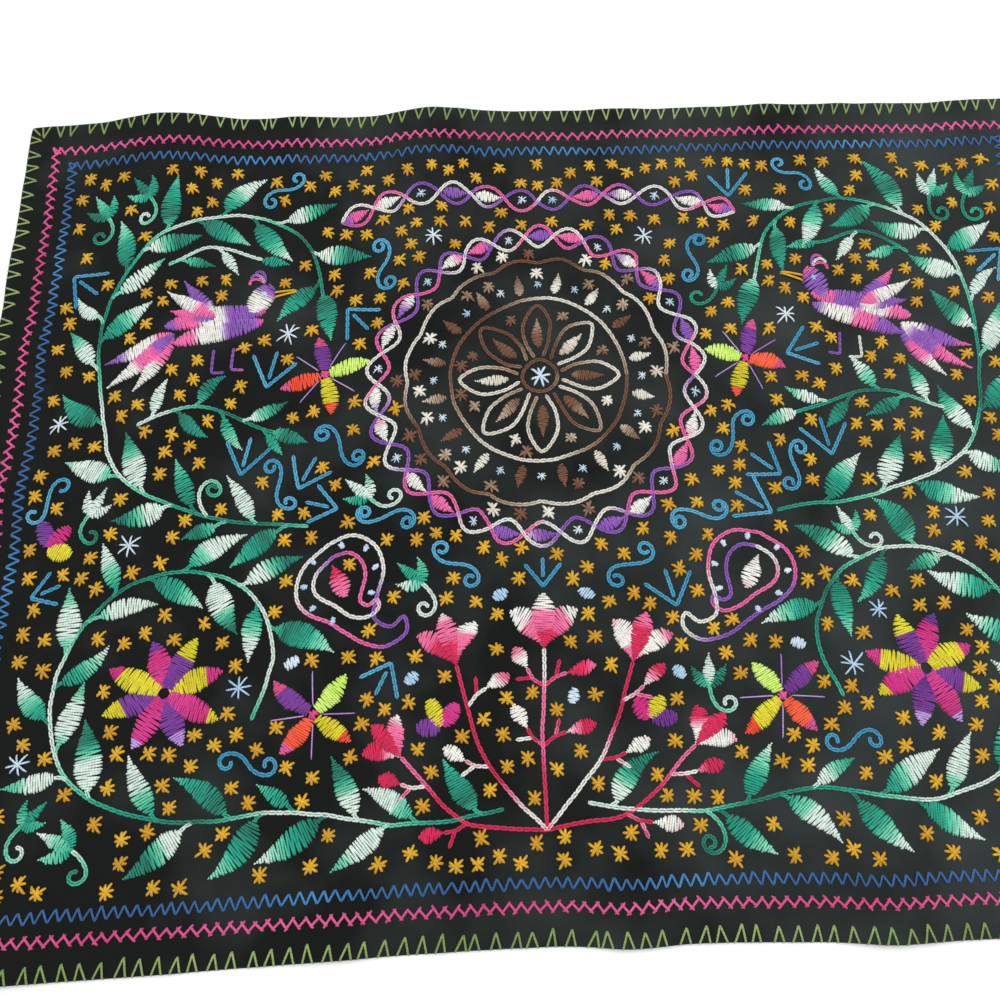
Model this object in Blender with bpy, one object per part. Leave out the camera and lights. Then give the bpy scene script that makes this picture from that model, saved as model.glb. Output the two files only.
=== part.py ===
"""Embroidered cotton cloth laid flat on a surface.

One hemmed sheet: its outline waves as hand-hemmed cloth does, and it lifts a few
millimetres off the surface in soft ripples. Units are metres, +Z is up, and the
origin is the middle of the underside. The cloth's long side runs along X.
"""

import math
from typing import NamedTuple

import bmesh
import bpy
from mathutils import Matrix, Vector

MM = 0.001

# Driving dimensions
CLOTH_WIDTH = 0.700
CLOTH_DEPTH = 0.525
CLOTH_THICKNESS = 0.0014
HEM_THICKNESS = 0.0020
HEM_WIDTH = 0.009
HEM_SLOPE = 0.002
CORNER_PULL = 0.0008
CORNER_REACH = 0.004
GRID_CELL = 0.020
LIFT_FLOOR = 0.0003


class CornerShift(NamedTuple):
    """How far a corner lies from the true rectangle's corner, in millimetres."""

    right: float
    up: float


class HemWave(NamedTuple):
    """One soft wave of the hem, in millimetres."""

    side: str
    place: float
    push: float
    reach: float


class Lift(NamedTuple):
    """One soft ripple off the surface, in millimetres, turned by degrees from +X."""

    right: float
    up: float
    height: float
    length: float
    width: float
    turn: float


# Corners of the hand-cut sheet
CORNERS = {
    "back_left": CornerShift(8.8, -3.8),
    "back_right": CornerShift(-2.0, 3.8),
    "front_left": CornerShift(-10.0, -16.4),
    "front_right": CornerShift(5.1, -3.9),
}

# Waves of the hem: side, place from the side's middle, push outward, reach along it
HEM_WAVES = (
    HemWave("back", -256, 7.0, 47),
    HemWave("back", -164, 1.4, 18),
    HemWave("back", -72, 5.2, 33),
    HemWave("back", -11, 1.4, 36),
    HemWave("back", 159, 1.2, 12),
    HemWave("back", 193, -1.4, 15),
    HemWave("back", 270, -2.0, 49),
    HemWave("front", 5, -9.7, 217),
    HemWave("front", 43, 2.4, 24),
    HemWave("front", 181, 1.2, 21),
    HemWave("front", 254, -1.7, 44),
    HemWave("left", 157, -1.1, 73),
    HemWave("left", 95, 1.6, 25),
    HemWave("left", 6, 2.2, 20),
    HemWave("left", -92, 2.6, 42),
    HemWave("left", -196, -1.8, 34),
    HemWave("right", 184, 1.8, 38),
    HemWave("right", 62, -2.6, 44),
    HemWave("right", -74, 2.2, 40),
    HemWave("right", -198, -1.8, 36),
)

# Ripples off the surface: right, up, height, length, width, turn
LIFTS = (
    Lift(-246, 262, 3.0, 60, 30, 84),
    Lift(-150, 266, 1.6, 44, 26, 98),
    Lift(-64, 262, 2.4, 54, 28, 88),
    Lift(60, 266, 1.4, 40, 24, 95),
    Lift(190, 262, 2.0, 50, 26, 86),
    Lift(300, 258, 1.5, 44, 24, 70),
    Lift(-348, 150, 2.0, 50, 28, 4),
    Lift(-354, 10, 1.8, 46, 26, -6),
    Lift(-358, -130, 2.4, 54, 30, 8),
    Lift(-300, -276, 2.2, 56, 30, 78),
    Lift(-120, -266, 1.6, 46, 26, 96),
    Lift(44, -262, 2.0, 48, 24, 88),
    Lift(190, -264, 2.6, 54, 28, 99),
    Lift(352, -150, 2.0, 52, 28, -8),
    Lift(350, 30, 1.6, 46, 26, 5),
    Lift(352, 176, 2.2, 50, 28, -4),
    Lift(-214, 118, 1.3, 74, 22, 62),
    Lift(176, 92, 1.2, 66, 22, 118),
    Lift(-150, -120, 1.1, 70, 22, 24),
    Lift(214, -128, 1.3, 72, 24, -30),
)


def remove_old_objects() -> None:
    """Clear the scene, so the script can run again from Blender's text editor."""
    for item in list(bpy.data.objects):
        bpy.data.objects.remove(item, do_unlink=True)


def bell(distance: float, reach: float) -> float:
    """A soft hump: one at its middle, next to nothing at twice its reach."""
    return math.exp(-((distance / reach) ** 2))


def hem_push(side: str, along: float) -> float:
    """How far the hem stands out from its straight run, `along` metres from its middle."""
    waves = (wave for wave in HEM_WAVES if wave.side == side)
    return MM * sum(wave.push * bell(along / MM - wave.place, wave.reach) for wave in waves)


def corner(name: str) -> Vector:
    """The place of a named corner on the surface."""
    shift = CORNERS[name]
    right = CLOTH_WIDTH / 2 if name.endswith("right") else -CLOTH_WIDTH / 2
    up = CLOTH_DEPTH / 2 if name.startswith("back") else -CLOTH_DEPTH / 2
    return Vector((right + shift.right * MM, up + shift.up * MM, 0.0))


def lift_at(right: float, up: float) -> float:
    """The height of the underside above the surface: nought where the cloth touches."""
    height = 0.0
    for lift in LIFTS:
        turn = math.radians(lift.turn)
        across = right / MM - lift.right
        along = up / MM - lift.up
        lengthwise = across * math.cos(turn) + along * math.sin(turn)
        sideways = along * math.cos(turn) - across * math.sin(turn)
        height += lift.height * MM * bell(lengthwise, lift.length) * bell(sideways, lift.width)
    return max(0.0, height - LIFT_FLOOR)


def cloth_point(cut_x: float, cut_y: float) -> Vector:
    """Where a point of the cut rectangle lies once the cloth is hemmed and laid down.

    `cut_x` and `cut_y` run from nought at the front left corner to the cloth's width and depth.
    """
    across = cut_x / CLOTH_WIDTH
    along = cut_y / CLOTH_DEPTH
    front = corner("front_left").lerp(corner("front_right"), across)
    back = corner("back_left").lerp(corner("back_right"), across)
    place = front.lerp(back, along)
    from_middle_x = cut_x - CLOTH_WIDTH / 2
    from_middle_y = cut_y - CLOTH_DEPTH / 2
    place.y += along * hem_push("back", from_middle_x)
    place.y -= (1 - along) * hem_push("front", from_middle_x)
    place.x += across * hem_push("right", from_middle_y)
    place.x -= (1 - across) * hem_push("left", from_middle_y)
    to_side_x = min(cut_x, CLOTH_WIDTH - cut_x)
    to_side_y = min(cut_y, CLOTH_DEPTH - cut_y)
    pull = CORNER_PULL * math.exp(-(to_side_x + to_side_y) / CORNER_REACH)
    place.x -= math.copysign(pull, from_middle_x)
    place.y -= math.copysign(pull, from_middle_y)
    place.z = lift_at(place.x, place.y)
    return place


def thickness_at(cut_x: float, cut_y: float) -> float:
    """Cloth thickness: the folded hem is thicker than the single layer inside it."""
    inset = min(cut_x, CLOTH_WIDTH - cut_x, cut_y, CLOTH_DEPTH - cut_y)
    blend = min(1.0, max(0.0, (inset - HEM_WIDTH + HEM_SLOPE) / HEM_SLOPE))
    return HEM_THICKNESS + (CLOTH_THICKNESS - HEM_THICKNESS) * blend


def cut_lines(length: float) -> list[float]:
    """Grid lines over one side: the hem's own two at each end, even cells between."""
    inner = length - 2 * HEM_WIDTH
    cells = round(inner / GRID_CELL)
    even = [HEM_WIDTH + inner * step / cells for step in range(cells + 1)]
    return [0.0, HEM_WIDTH - HEM_SLOPE, *even, length - HEM_WIDTH + HEM_SLOPE, length]


def cloth_material() -> bpy.types.Material:
    """Near-black plain-weave cotton."""
    material = bpy.data.materials.new("black_cotton")
    material.use_nodes = True
    shader = material.node_tree.nodes["Principled BSDF"]
    shader.inputs["Base Color"].default_value = (0.012, 0.013, 0.015, 1.0)
    shader.inputs["Roughness"].default_value = 0.9
    shader.inputs["Metallic"].default_value = 0.0
    return material


def build_cloth() -> bpy.types.Object:
    """The whole hemmed sheet as one closed solid."""
    columns = cut_lines(CLOTH_WIDTH)
    rows = cut_lines(CLOTH_DEPTH)
    mesh = bmesh.new()
    bmesh.ops.create_grid(mesh, x_segments=len(columns) - 1, y_segments=len(rows) - 1, size=0.5)
    cuts = {}
    for vert in mesh.verts:
        column = round((vert.co.x + 0.5) * (len(columns) - 1))
        row = round((vert.co.y + 0.5) * (len(rows) - 1))
        cuts[vert] = (columns[column], rows[row])
    for vert, cut in cuts.items():
        vert.co = cloth_point(*cut)
    thicknesses = {vert.co.copy().freeze(): thickness_at(*cut) for vert, cut in cuts.items()}
    underside = list(mesh.faces)
    raised = bmesh.ops.extrude_face_region(mesh, geom=underside, use_keep_orig=True)
    for item in raised["geom"]:
        if isinstance(item, bmesh.types.BMVert):
            item.co.z += thicknesses[item.co.copy().freeze()]
    bmesh.ops.recalc_face_normals(mesh, faces=mesh.faces)
    bmesh.ops.triangulate(mesh, faces=mesh.faces)
    centre_on_underside(mesh)
    data = bpy.data.meshes.new("cloth")
    mesh.to_mesh(data)
    mesh.free()
    data.materials.append(cloth_material())
    cloth = bpy.data.objects.new("cloth", data)
    bpy.context.scene.collection.objects.link(cloth)
    return cloth


def centre_on_underside(mesh: bmesh.types.BMesh) -> None:
    """Move the sheet so that the origin is the middle of its box on the surface."""
    rights = [vert.co.x for vert in mesh.verts]
    ups = [vert.co.y for vert in mesh.verts]
    middle = Vector((min(rights) + max(rights), min(ups) + max(ups), 0.0)) / 2
    bmesh.ops.transform(mesh, matrix=Matrix.Translation(-middle), verts=mesh.verts)


def main() -> None:
    """Build the part from an empty scene."""
    remove_old_objects()
    build_cloth()


if __name__ == "__main__":
    main()
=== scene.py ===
"""Looks of the embroidered cotton cloth: the woven sheet, its hem and every stitch sewn on it.

Lengths are in metres unless a name or comment says millimetres. The embroidery is
planned flat, in millimetres from the middle of the cut cloth, and then laid on the
hemmed sheet, so that its rows follow the uneven edges and its stitches the ripples.
"""

import logging
import math
from dataclasses import dataclass, field
from enum import Enum
from typing import NamedTuple

import bmesh
import bpy
import numpy as np
from mathutils import Euler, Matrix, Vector


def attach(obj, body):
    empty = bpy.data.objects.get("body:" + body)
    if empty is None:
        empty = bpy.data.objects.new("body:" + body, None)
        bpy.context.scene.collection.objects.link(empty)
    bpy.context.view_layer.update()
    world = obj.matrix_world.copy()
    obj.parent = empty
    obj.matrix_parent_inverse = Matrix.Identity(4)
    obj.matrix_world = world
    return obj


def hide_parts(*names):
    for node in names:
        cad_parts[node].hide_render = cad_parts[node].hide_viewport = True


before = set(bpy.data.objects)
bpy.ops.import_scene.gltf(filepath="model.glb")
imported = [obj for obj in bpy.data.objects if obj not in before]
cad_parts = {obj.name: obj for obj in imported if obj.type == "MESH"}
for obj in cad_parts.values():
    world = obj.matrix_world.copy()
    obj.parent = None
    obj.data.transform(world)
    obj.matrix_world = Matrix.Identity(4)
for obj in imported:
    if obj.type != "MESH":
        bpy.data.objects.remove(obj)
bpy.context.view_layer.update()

LOG = logging.getLogger("embroidered_cloth")
MM = 0.001
Point = tuple[float, float]

# Sizes shared with the solid
CLOTH_WIDTH = 0.700
CLOTH_DEPTH = 0.525
HEM_WIDTH = 0.009
CORNER_PULL = 0.0008
CORNER_REACH = 0.004
LIFT_FLOOR = 0.0003

# Rounded rim of the hem, and half the step at its fold
RIM = 0.0006
FOLD_HALF = 0.001


class CornerShift(NamedTuple):
    """How far a corner lies from the true rectangle's corner, in millimetres."""

    right: float
    up: float


class HemWave(NamedTuple):
    """One soft wave of the hem, in millimetres."""

    side: str
    place: float
    push: float
    reach: float


class Lift(NamedTuple):
    """One soft ripple off the surface, in millimetres, turned by degrees from +X."""

    right: float
    up: float
    height: float
    length: float
    width: float
    turn: float


# Corners of the hand-cut sheet
CORNERS = {
    "back_left": CornerShift(8.8, -3.8),
    "back_right": CornerShift(-2.0, 3.8),
    "front_left": CornerShift(-10.0, -16.4),
    "front_right": CornerShift(5.1, -3.9),
}

# Waves of the hem: side, place from the side's middle, push outward, reach along it
HEM_WAVES = (
    HemWave("back", -256, 7.0, 47),
    HemWave("back", -164, 1.4, 18),
    HemWave("back", -72, 5.2, 33),
    HemWave("back", -11, 1.4, 36),
    HemWave("back", 159, 1.2, 12),
    HemWave("back", 193, -1.4, 15),
    HemWave("back", 270, -2.0, 49),
    HemWave("front", 5, -9.7, 217),
    HemWave("front", 43, 2.4, 24),
    HemWave("front", 181, 1.2, 21),
    HemWave("front", 254, -1.7, 44),
    HemWave("left", 157, -1.1, 73),
    HemWave("left", 95, 1.6, 25),
    HemWave("left", 6, 2.2, 20),
    HemWave("left", -92, 2.6, 42),
    HemWave("left", -196, -1.8, 34),
    HemWave("right", 184, 1.8, 38),
    HemWave("right", 62, -2.6, 44),
    HemWave("right", -74, 2.2, 40),
    HemWave("right", -198, -1.8, 36),
)

# Ripples off the surface: right, up, height, length, width, turn
LIFTS = (
    Lift(-246, 262, 3.0, 60, 30, 84),
    Lift(-150, 266, 1.6, 44, 26, 98),
    Lift(-64, 262, 2.4, 54, 28, 88),
    Lift(60, 266, 1.4, 40, 24, 95),
    Lift(190, 262, 2.0, 50, 26, 86),
    Lift(300, 258, 1.5, 44, 24, 70),
    Lift(-348, 150, 2.0, 50, 28, 4),
    Lift(-354, 10, 1.8, 46, 26, -6),
    Lift(-358, -130, 2.4, 54, 30, 8),
    Lift(-300, -276, 2.2, 56, 30, 78),
    Lift(-120, -266, 1.6, 46, 26, 96),
    Lift(44, -262, 2.0, 48, 24, 88),
    Lift(190, -264, 2.6, 54, 28, 99),
    Lift(352, -150, 2.0, 52, 28, -8),
    Lift(350, 30, 1.6, 46, 26, 5),
    Lift(352, 176, 2.2, 50, 28, -4),
    Lift(-214, 118, 1.3, 74, 22, 62),
    Lift(176, 92, 1.2, 66, 22, 118),
    Lift(-150, -120, 1.1, 70, 22, 24),
    Lift(214, -128, 1.3, 72, 24, -30),
)


class Floss(Enum):
    """The cotton threads, each one skein on the maker's table."""

    GREEN = "leaf_green_variegated_cotton"
    PURPLE = "purple_pink_white_variegated_cotton"
    RED = "crimson_pink_white_variegated_cotton"
    BROWN = "brown_tan_cream_variegated_cotton"
    ORANGE = "orange_cotton"
    ICE = "ice_blue_cotton"
    SKY = "sky_blue_cotton"
    YELLOW = "yellow_cotton"
    MAGENTA = "magenta_cotton"
    VIOLET = "violet_cotton"
    LIME = "lime_cotton"
    VERMILION = "vermilion_cotton"
    LILAC = "lilac_cotton"
    OLIVE = "olive_cotton"
    ROSE = "rose_pink_cotton"
    BLUE = "deep_blue_cotton"


FLOSS_ORDER = tuple(Floss)
# A chain link on a straight run is this many times as long as it is wide, and turns by at most so much
LINK_LENGTH = 1.72
LINK_TURN = 0.62
# Thread that a link takes for each millimetre of its length, and that a straight stitch takes on the reverse
LINK_SPENT = 3.3
SPARE_THREAD = 2.2
# Length of thread in which the dye of a variegated skein repeats, in millimetres
DYE_REPEAT = 620.0


@dataclass
class Skein:
    """A length of thread in use: it remembers how far along its dye repeat the needle is."""

    floss: Floss
    repeat: float
    used: float = 0.0

    def draw(self, length: float) -> tuple[float, float]:
        """Pull thread off the skein.

        Args:
            length: thread used, in millimetres.

        Returns:
            Where the stitch starts and ends along the dye repeat, in repeats.
        """
        start = self.used
        self.used += length / self.repeat
        return start, self.used


@dataclass
class StitchBook:
    """Every stitch of one sewn piece, in millimetres from the middle of the cut cloth."""

    name: str
    straight: list[tuple] = field(default_factory=list)
    loops: list[tuple] = field(default_factory=list)

    def sew(self, start: Point, end: Point, skein: Skein, width: float = 0.95,
            rise: float = 0.42) -> None:
        """Lay one straight stitch.

        Args:
            start: where the thread comes up.
            end: where it goes down.
            skein: the thread in use.
            width: thread width as it lies, in millimetres.
            rise: height of the thread's middle above the cloth, in millimetres.
        """
        length = math.dist(start, end)
        begin, finish = skein.draw(length)
        skein.draw(SPARE_THREAD)
        floss = FLOSS_ORDER.index(skein.floss)
        self.straight.append((*start, *end, width, rise, begin, finish, floss))

    def chain(self, route: np.ndarray, skein: Skein, width: float) -> None:
        """Sew chain stitch along a route.

        Args:
            route: points of the line to follow, one row each.
            skein: the thread in use.
            width: width over both strands, in millimetres.
        """
        floss = FLOSS_ORDER.index(skein.floss)
        places = link_ends(route, LINK_LENGTH * width)
        for here, there in zip(places[:-1], places[1:]):
            length = math.dist(here, there)
            begin, finish = skein.draw(LINK_SPENT * length)
            heading = math.atan2(there[1] - here[1], there[0] - here[0])
            self.loops.append((here[0], here[1], heading, length, width, begin, finish, floss))


def resample(route: np.ndarray, pitch: float) -> np.ndarray:
    """Even steps of about `pitch` along a polyline.

    Args:
        route: points of the line, one row each.
        pitch: length of a step, in millimetres.

    Returns:
        The line in even steps, one row for each point.
    """
    gaps = np.hypot(*np.diff(route, axis=0).T)
    run = np.concatenate(([0.0], np.cumsum(gaps)))
    count = max(1, round(run[-1] / pitch))
    at = np.linspace(0.0, run[-1], count + 1)
    return np.stack([np.interp(at, run, route[:, 0]), np.interp(at, run, route[:, 1])], axis=1)


def link_ends(route: np.ndarray, longest: float) -> np.ndarray:
    """Ends of the chain links along a route: shorter links round a tight bend.

    Args:
        route: points of the line to follow, one row each.
        longest: length of a link on a straight run, in millimetres.

    Returns:
        One row for each end.
    """
    fine = resample(route, 0.4)
    steps = np.diff(fine, axis=0)
    runs = np.hypot(*steps.T)
    turns = np.abs(np.diff(np.unwrap(np.arctan2(steps[:, 1], steps[:, 0]))))
    bends = np.convolve(np.pad(turns, (1, 2), "edge"), np.ones(3) / 3, "valid") / runs
    lengths = np.clip(LINK_TURN / np.maximum(bends, 1e-6), 0.5 * longest, longest)
    progress = np.concatenate(([0.0], np.cumsum(runs / lengths)))
    at = np.linspace(0.0, progress[-1], max(1, round(progress[-1])) + 1)
    return np.stack([np.interp(at, progress, fine[:, 0]), np.interp(at, progress, fine[:, 1])], axis=1)


def smooth_line(points: tuple[Point, ...], steps: int = 12) -> np.ndarray:
    """A soft curve through given points.

    Args:
        points: places that the curve goes through.
        steps: steps between two of them.

    Returns:
        One row for each point.
    """
    p = np.array(points, float)
    p = np.vstack([2 * p[0] - p[1], p, 2 * p[-1] - p[-2]])
    t = np.linspace(0, 1, steps, endpoint=False)[:, None]
    runs = []
    for a, b, c, d in zip(p[:-3], p[1:-2], p[2:-1], p[3:]):
        runs.append(0.5 * (2 * b + (c - a) * t + (2 * a - 5 * b + 4 * c - d) * t**2
                           + (3 * b - a - 3 * c + d) * t**3))
    return np.vstack([*runs, p[-2][None, :]])


def curl_line(start: Point, heading: float, length: float, open_radius: float, tight_radius: float,
              side: int, tightening: float = 1.5) -> np.ndarray:
    """A tendril that winds ever tighter.

    Args:
        start: where it leaves its stem.
        heading: direction it leaves in, in degrees.
        length: length of the line, in millimetres.
        open_radius: radius of its bend at the start.
        tight_radius: radius of its bend at the end.
        side: +1 winds to the left, -1 to the right.
        tightening: how late the winding sets in.

    Returns:
        One row for each point.
    """
    steps = max(12, int(length))
    share = np.linspace(0, 1, steps)
    bend = 1 / open_radius + (1 / tight_radius - 1 / open_radius) * share**tightening
    step = length / (steps - 1)
    angle = math.radians(heading) + side * np.concatenate(([0.0], np.cumsum(bend[:-1] * step)))
    x = start[0] + np.concatenate(([0.0], np.cumsum(np.cos(angle[:-1]) * step)))
    y = start[1] + np.concatenate(([0.0], np.cumsum(np.sin(angle[:-1]) * step)))
    return np.stack([x, y], axis=1)


def polar(centre: Point, radius: float, angle: float) -> Point:
    """A point at a radius and an angle in degrees around a centre."""
    turn = math.radians(angle)
    return centre[0] + radius * math.cos(turn), centre[1] + radius * math.sin(turn)


def heading_of(dx: float, dy: float) -> float:
    """Direction of a step, in degrees."""
    return math.degrees(math.atan2(dy, dx))


def turned(centre: Point, turn: float, x: float, y: float) -> Point:
    """A point x along and y across from a centre, on axes turned by degrees."""
    angle = math.radians(turn)
    return (centre[0] + x * math.cos(angle) - y * math.sin(angle),
            centre[1] + x * math.sin(angle) + y * math.cos(angle))


def round_line(centre: Point, reach: np.ndarray, angles: np.ndarray) -> np.ndarray:
    """A line round a centre, at its own reach for each angle in radians."""
    return np.stack([centre[0] + reach * np.cos(angles), centre[1] + reach * np.sin(angles)], axis=1)


class Blade(Enum):
    """Outlines of filled shapes, as half width along the axis."""

    LEAF = "leaf"
    PETAL = "petal"
    DROP = "drop"
    OVAL = "oval"


def half_width(shape: Blade, share: float) -> float:
    """Half width of a filled shape, from nought to one, at a share of its length.

    Args:
        shape: which outline.
        share: place along it, from nought to one.

    Returns:
        The half width.
    """
    if shape is Blade.LEAF:
        return math.sin(math.pi * share**0.72) ** 0.92 * (1 - 0.3 * share**3)
    if shape is Blade.PETAL:
        return min(1.0, 0.5 + 1.1 * share) * (1 - share**3.2) ** 0.8
    if shape is Blade.DROP:
        return math.sin(math.pi * share**1.45) ** 0.75
    return math.sqrt(max(0.0, 1 - (2 * share - 1) ** 2))


@dataclass
class Hand:
    """The maker's hand: it sews a motif, or its mirror image, a little unevenly."""

    side: int
    seed: int
    rng: np.random.Generator = field(init=False)

    def __post_init__(self) -> None:
        """Start the hand's own random draws."""
        self.rng = np.random.default_rng(self.seed)

    def skein(self, floss: Floss) -> Skein:
        """A fresh needleful, cut somewhere along its dye repeat."""
        return Skein(floss, DYE_REPEAT, self.rng.uniform(0, 1))

    def place(self, point: Point) -> Point:
        """A planned point as it is really sewn.

        Args:
            point: the planned point.

        Returns:
            The sewn point.
        """
        x, y = point
        x *= self.side
        sway_x = 1.6 * math.sin(0.021 * x + 0.017 * y + 0.8) + 1.0 * math.sin(0.043 * y - 0.02 * x)
        sway_y = 1.5 * math.sin(0.019 * x - 0.023 * y + 2.1) + 0.9 * math.sin(0.047 * x + 0.4)
        return x + sway_x, y + sway_y

    def place_line(self, route: np.ndarray) -> np.ndarray:
        """A planned line as it is really sewn."""
        return np.array([self.place((x, y)) for x, y in route])

    def follow(self, route: np.ndarray, drift: float = 0.4, run: float = 9.0) -> np.ndarray:
        """The line that the needle really takes: now and then a little off the planned one.

        Args:
            route: the planned line.
            drift: how far off it the needle strays, in millimetres.
            run: length between strays, in millimetres.

        Returns:
            The strayed line, one row for each point.
        """
        along = np.concatenate(([0.0], np.cumsum(np.hypot(*np.diff(route, axis=0).T))))
        knots = np.linspace(0.0, along[-1], max(2, round(along[-1] / run) + 1))
        strays = self.rng.normal(0.0, drift, (2, len(knots)))
        strays[:, [0, -1]] = 0.0
        return route + np.stack([np.interp(along, knots, stray) for stray in strays], axis=1)

    def wobble(self, size: float) -> float:
        """A small uneven amount, most often under `size`."""
        return float(self.rng.normal(0.0, size))


@dataclass
class Field:
    """The embroidered field: its pieces of stitching and what they already cover."""

    stems: StitchBook = field(default_factory=lambda: StitchBook("stem_chain_stitches"))
    scrolls: StitchBook = field(default_factory=lambda: StitchBook("scroll_chain_stitches"))
    rings: StitchBook = field(default_factory=lambda: StitchBook("medallion_chain_stitches"))
    leaves: StitchBook = field(default_factory=lambda: StitchBook("leaf_filling_stitches"))
    petals: StitchBook = field(default_factory=lambda: StitchBook("petal_filling_stitches"))
    stars: StitchBook = field(default_factory=lambda: StitchBook("ground_star_stitches"))
    accents: StitchBook = field(default_factory=lambda: StitchBook("accent_star_stitches"))
    taken: set[tuple[int, int]] = field(default_factory=set)
    half_size: Point = (309.0, 221.0)
    cell: float = 2.5
    least_half: float = 0.3

    def note(self, x: float, y: float) -> None:
        """Remember that stitches lie here."""
        self.taken.add((round(x / self.cell), round(y / self.cell)))

    def room_for(self, hand: Hand, points: list[Point], limit: float = 0.06) -> bool:
        """Whether a planned shape lies inside the field and clear of what is already sewn.

        Args:
            hand: who would sew it.
            points: planned points all over the shape.
            limit: share of it that may touch other stitches.

        Returns:
            True if it does.
        """
        places = [hand.place(point) for point in points]
        if any(abs(x) > self.half_size[0] or abs(y) > self.half_size[1] for x, y in places):
            return False
        cells = {(round(x / self.cell), round(y / self.cell)) for x, y in places}
        return len(cells & self.taken) <= limit * len(cells)

    def books(self) -> tuple[StitchBook, ...]:
        """All the field's books of stitches."""
        return self.stems, self.scrolls, self.rings, self.leaves, self.petals, self.stars, self.accents

    def covered(self) -> np.ndarray:
        """Points that the stitches sewn so far pass through.

        Returns:
            One row for each point.
        """
        points = []
        for book in self.books():
            for x0, y0, x1, y1, *_ in book.straight:
                points += [(x0, y0), ((x0 + x1) / 2, (y0 + y1) / 2), (x1, y1)]
            for x, y, heading, length, *_ in book.loops:
                turn = math.degrees(heading)
                points += [polar((x, y), share * length, turn) for share in (0.0, 0.5, 1.0)]
        return np.array(points)

    def line(self, hand: Hand, route: np.ndarray, skein: Skein, book: StitchBook | None = None,
             width: float = 2.5) -> None:
        """Chain stitch along a planned line.

        Args:
            hand: who sews it.
            route: points of the planned line, one row each.
            skein: the thread in use.
            book: the piece that it belongs to, stems if not given.
            width: width over both strands, in millimetres.
        """
        placed = hand.follow(hand.place_line(route))
        for x, y in resample(placed, 1.2):
            self.note(x, y)
        (book or self.stems).chain(placed, skein, width)

    def blade(self, hand: Hand, base: Point, heading: float, length: float, width: float, skein: Skein,
              shape: Blade = Blade.LEAF, bend: float = 0.0, pitch: float = 1.42,
              book: StitchBook | None = None, tip: Skein | None = None, tip_share: float = 1.0,
              thread: float = 1.3, rise: float = 0.42) -> None:
        """Fill a leaf or petal with stitches laid across it, back and forth.

        Args:
            hand: whose stitches they are.
            base: planned point where it starts.
            heading: planned direction of its axis, in degrees.
            length: its length, in millimetres.
            width: its greatest width, in millimetres.
            skein: thread of the body.
            shape: its outline.
            bend: how far its axis bows, as a share of its length.
            pitch: spacing of the stitches.
            book: the piece that it belongs to, leaf filling if not given.
            tip: thread of the tip, if it is another.
            tip_share: share of the length where the tip's thread starts.
            thread: width of the thread.
            rise: height of the threads above the cloth, in millimetres.
        """
        book = book or self.leaves
        count = max(3, round(length / pitch))
        lean = hand.wobble(7.0)
        turn = math.radians(heading)
        for step in range(count):
            share = (step + 0.5) / count
            along = length * share
            off = bend * length * 4 * share * (1 - share)
            slope = math.atan(bend * 4 * (1 - 2 * share))
            cross = turn + slope + math.pi / 2 + math.radians(lean + hand.wobble(3.0))
            half = 0.5 * width * half_width(shape, share)
            left, right = half + hand.wobble(0.22), half + hand.wobble(0.22)
            cx = base[0] + along * math.cos(turn) - off * math.sin(turn)
            cy = base[1] + along * math.sin(turn) + off * math.cos(turn)
            slant = 0.14 * pitch * (1 if step % 2 else -1)
            ahead_x, ahead_y = slant * math.cos(turn), slant * math.sin(turn)
            left, right = max(self.least_half, left), max(self.least_half, right)
            start = (cx - ahead_x - left * math.cos(cross), cy - ahead_y - left * math.sin(cross))
            end = (cx + ahead_x + right * math.cos(cross), cy + ahead_y + right * math.sin(cross))
            if step % 2:
                start, end = end, start
            yarn = tip if tip is not None and share >= tip_share else skein
            start, end = hand.place(start), hand.place(end)
            for part in (0.1, 0.3, 0.5, 0.7, 0.9):
                self.note(start[0] + part * (end[0] - start[0]), start[1] + part * (end[1] - start[1]))
            book.sew(start, end, yarn, width=thread * (1 + hand.wobble(0.06)), rise=rise)

    def star(self, hand: Hand, centre: Point, size: float, floss: Floss, book: StitchBook,
             thread: float = 1.65, placed: bool = False, lift: float = 0.0) -> None:
        """Cross four stitches over one point.

        Args:
            hand: whose stitches they are.
            centre: planned point where they cross.
            size: length of the stitches, in millimetres.
            floss: the thread.
            book: the piece that it belongs to.
            thread: width of the thread, in millimetres.
            placed: whether the point is already where it is really sewn.
            lift: height of the stitching below it, in millimetres.
        """
        centre = centre if placed else hand.place(centre)
        for angle in range(0, 360, 45):
            for reach in (0.2, 0.35, 0.5):
                self.note(*polar(centre, reach * size, angle))
        tilt = hand.wobble(9.0)
        skein = hand.skein(floss)
        for layer, angle in enumerate((0.0, 90.0, 45.0, 135.0)):
            reach = 0.5 * size * (1 + hand.wobble(0.06)) * (0.88 if layer < 2 else 1.08)
            turn = angle + tilt + hand.wobble(5.0)
            crossing = (centre[0] + hand.wobble(0.25), centre[1] + hand.wobble(0.25))
            start = polar(crossing, reach, turn)
            end = polar(crossing, reach * (1 + hand.wobble(0.07)), turn + 180)
            book.sew(start, end, skein, width=thread, rise=lift + 0.42 + 0.2 * layer)


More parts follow.
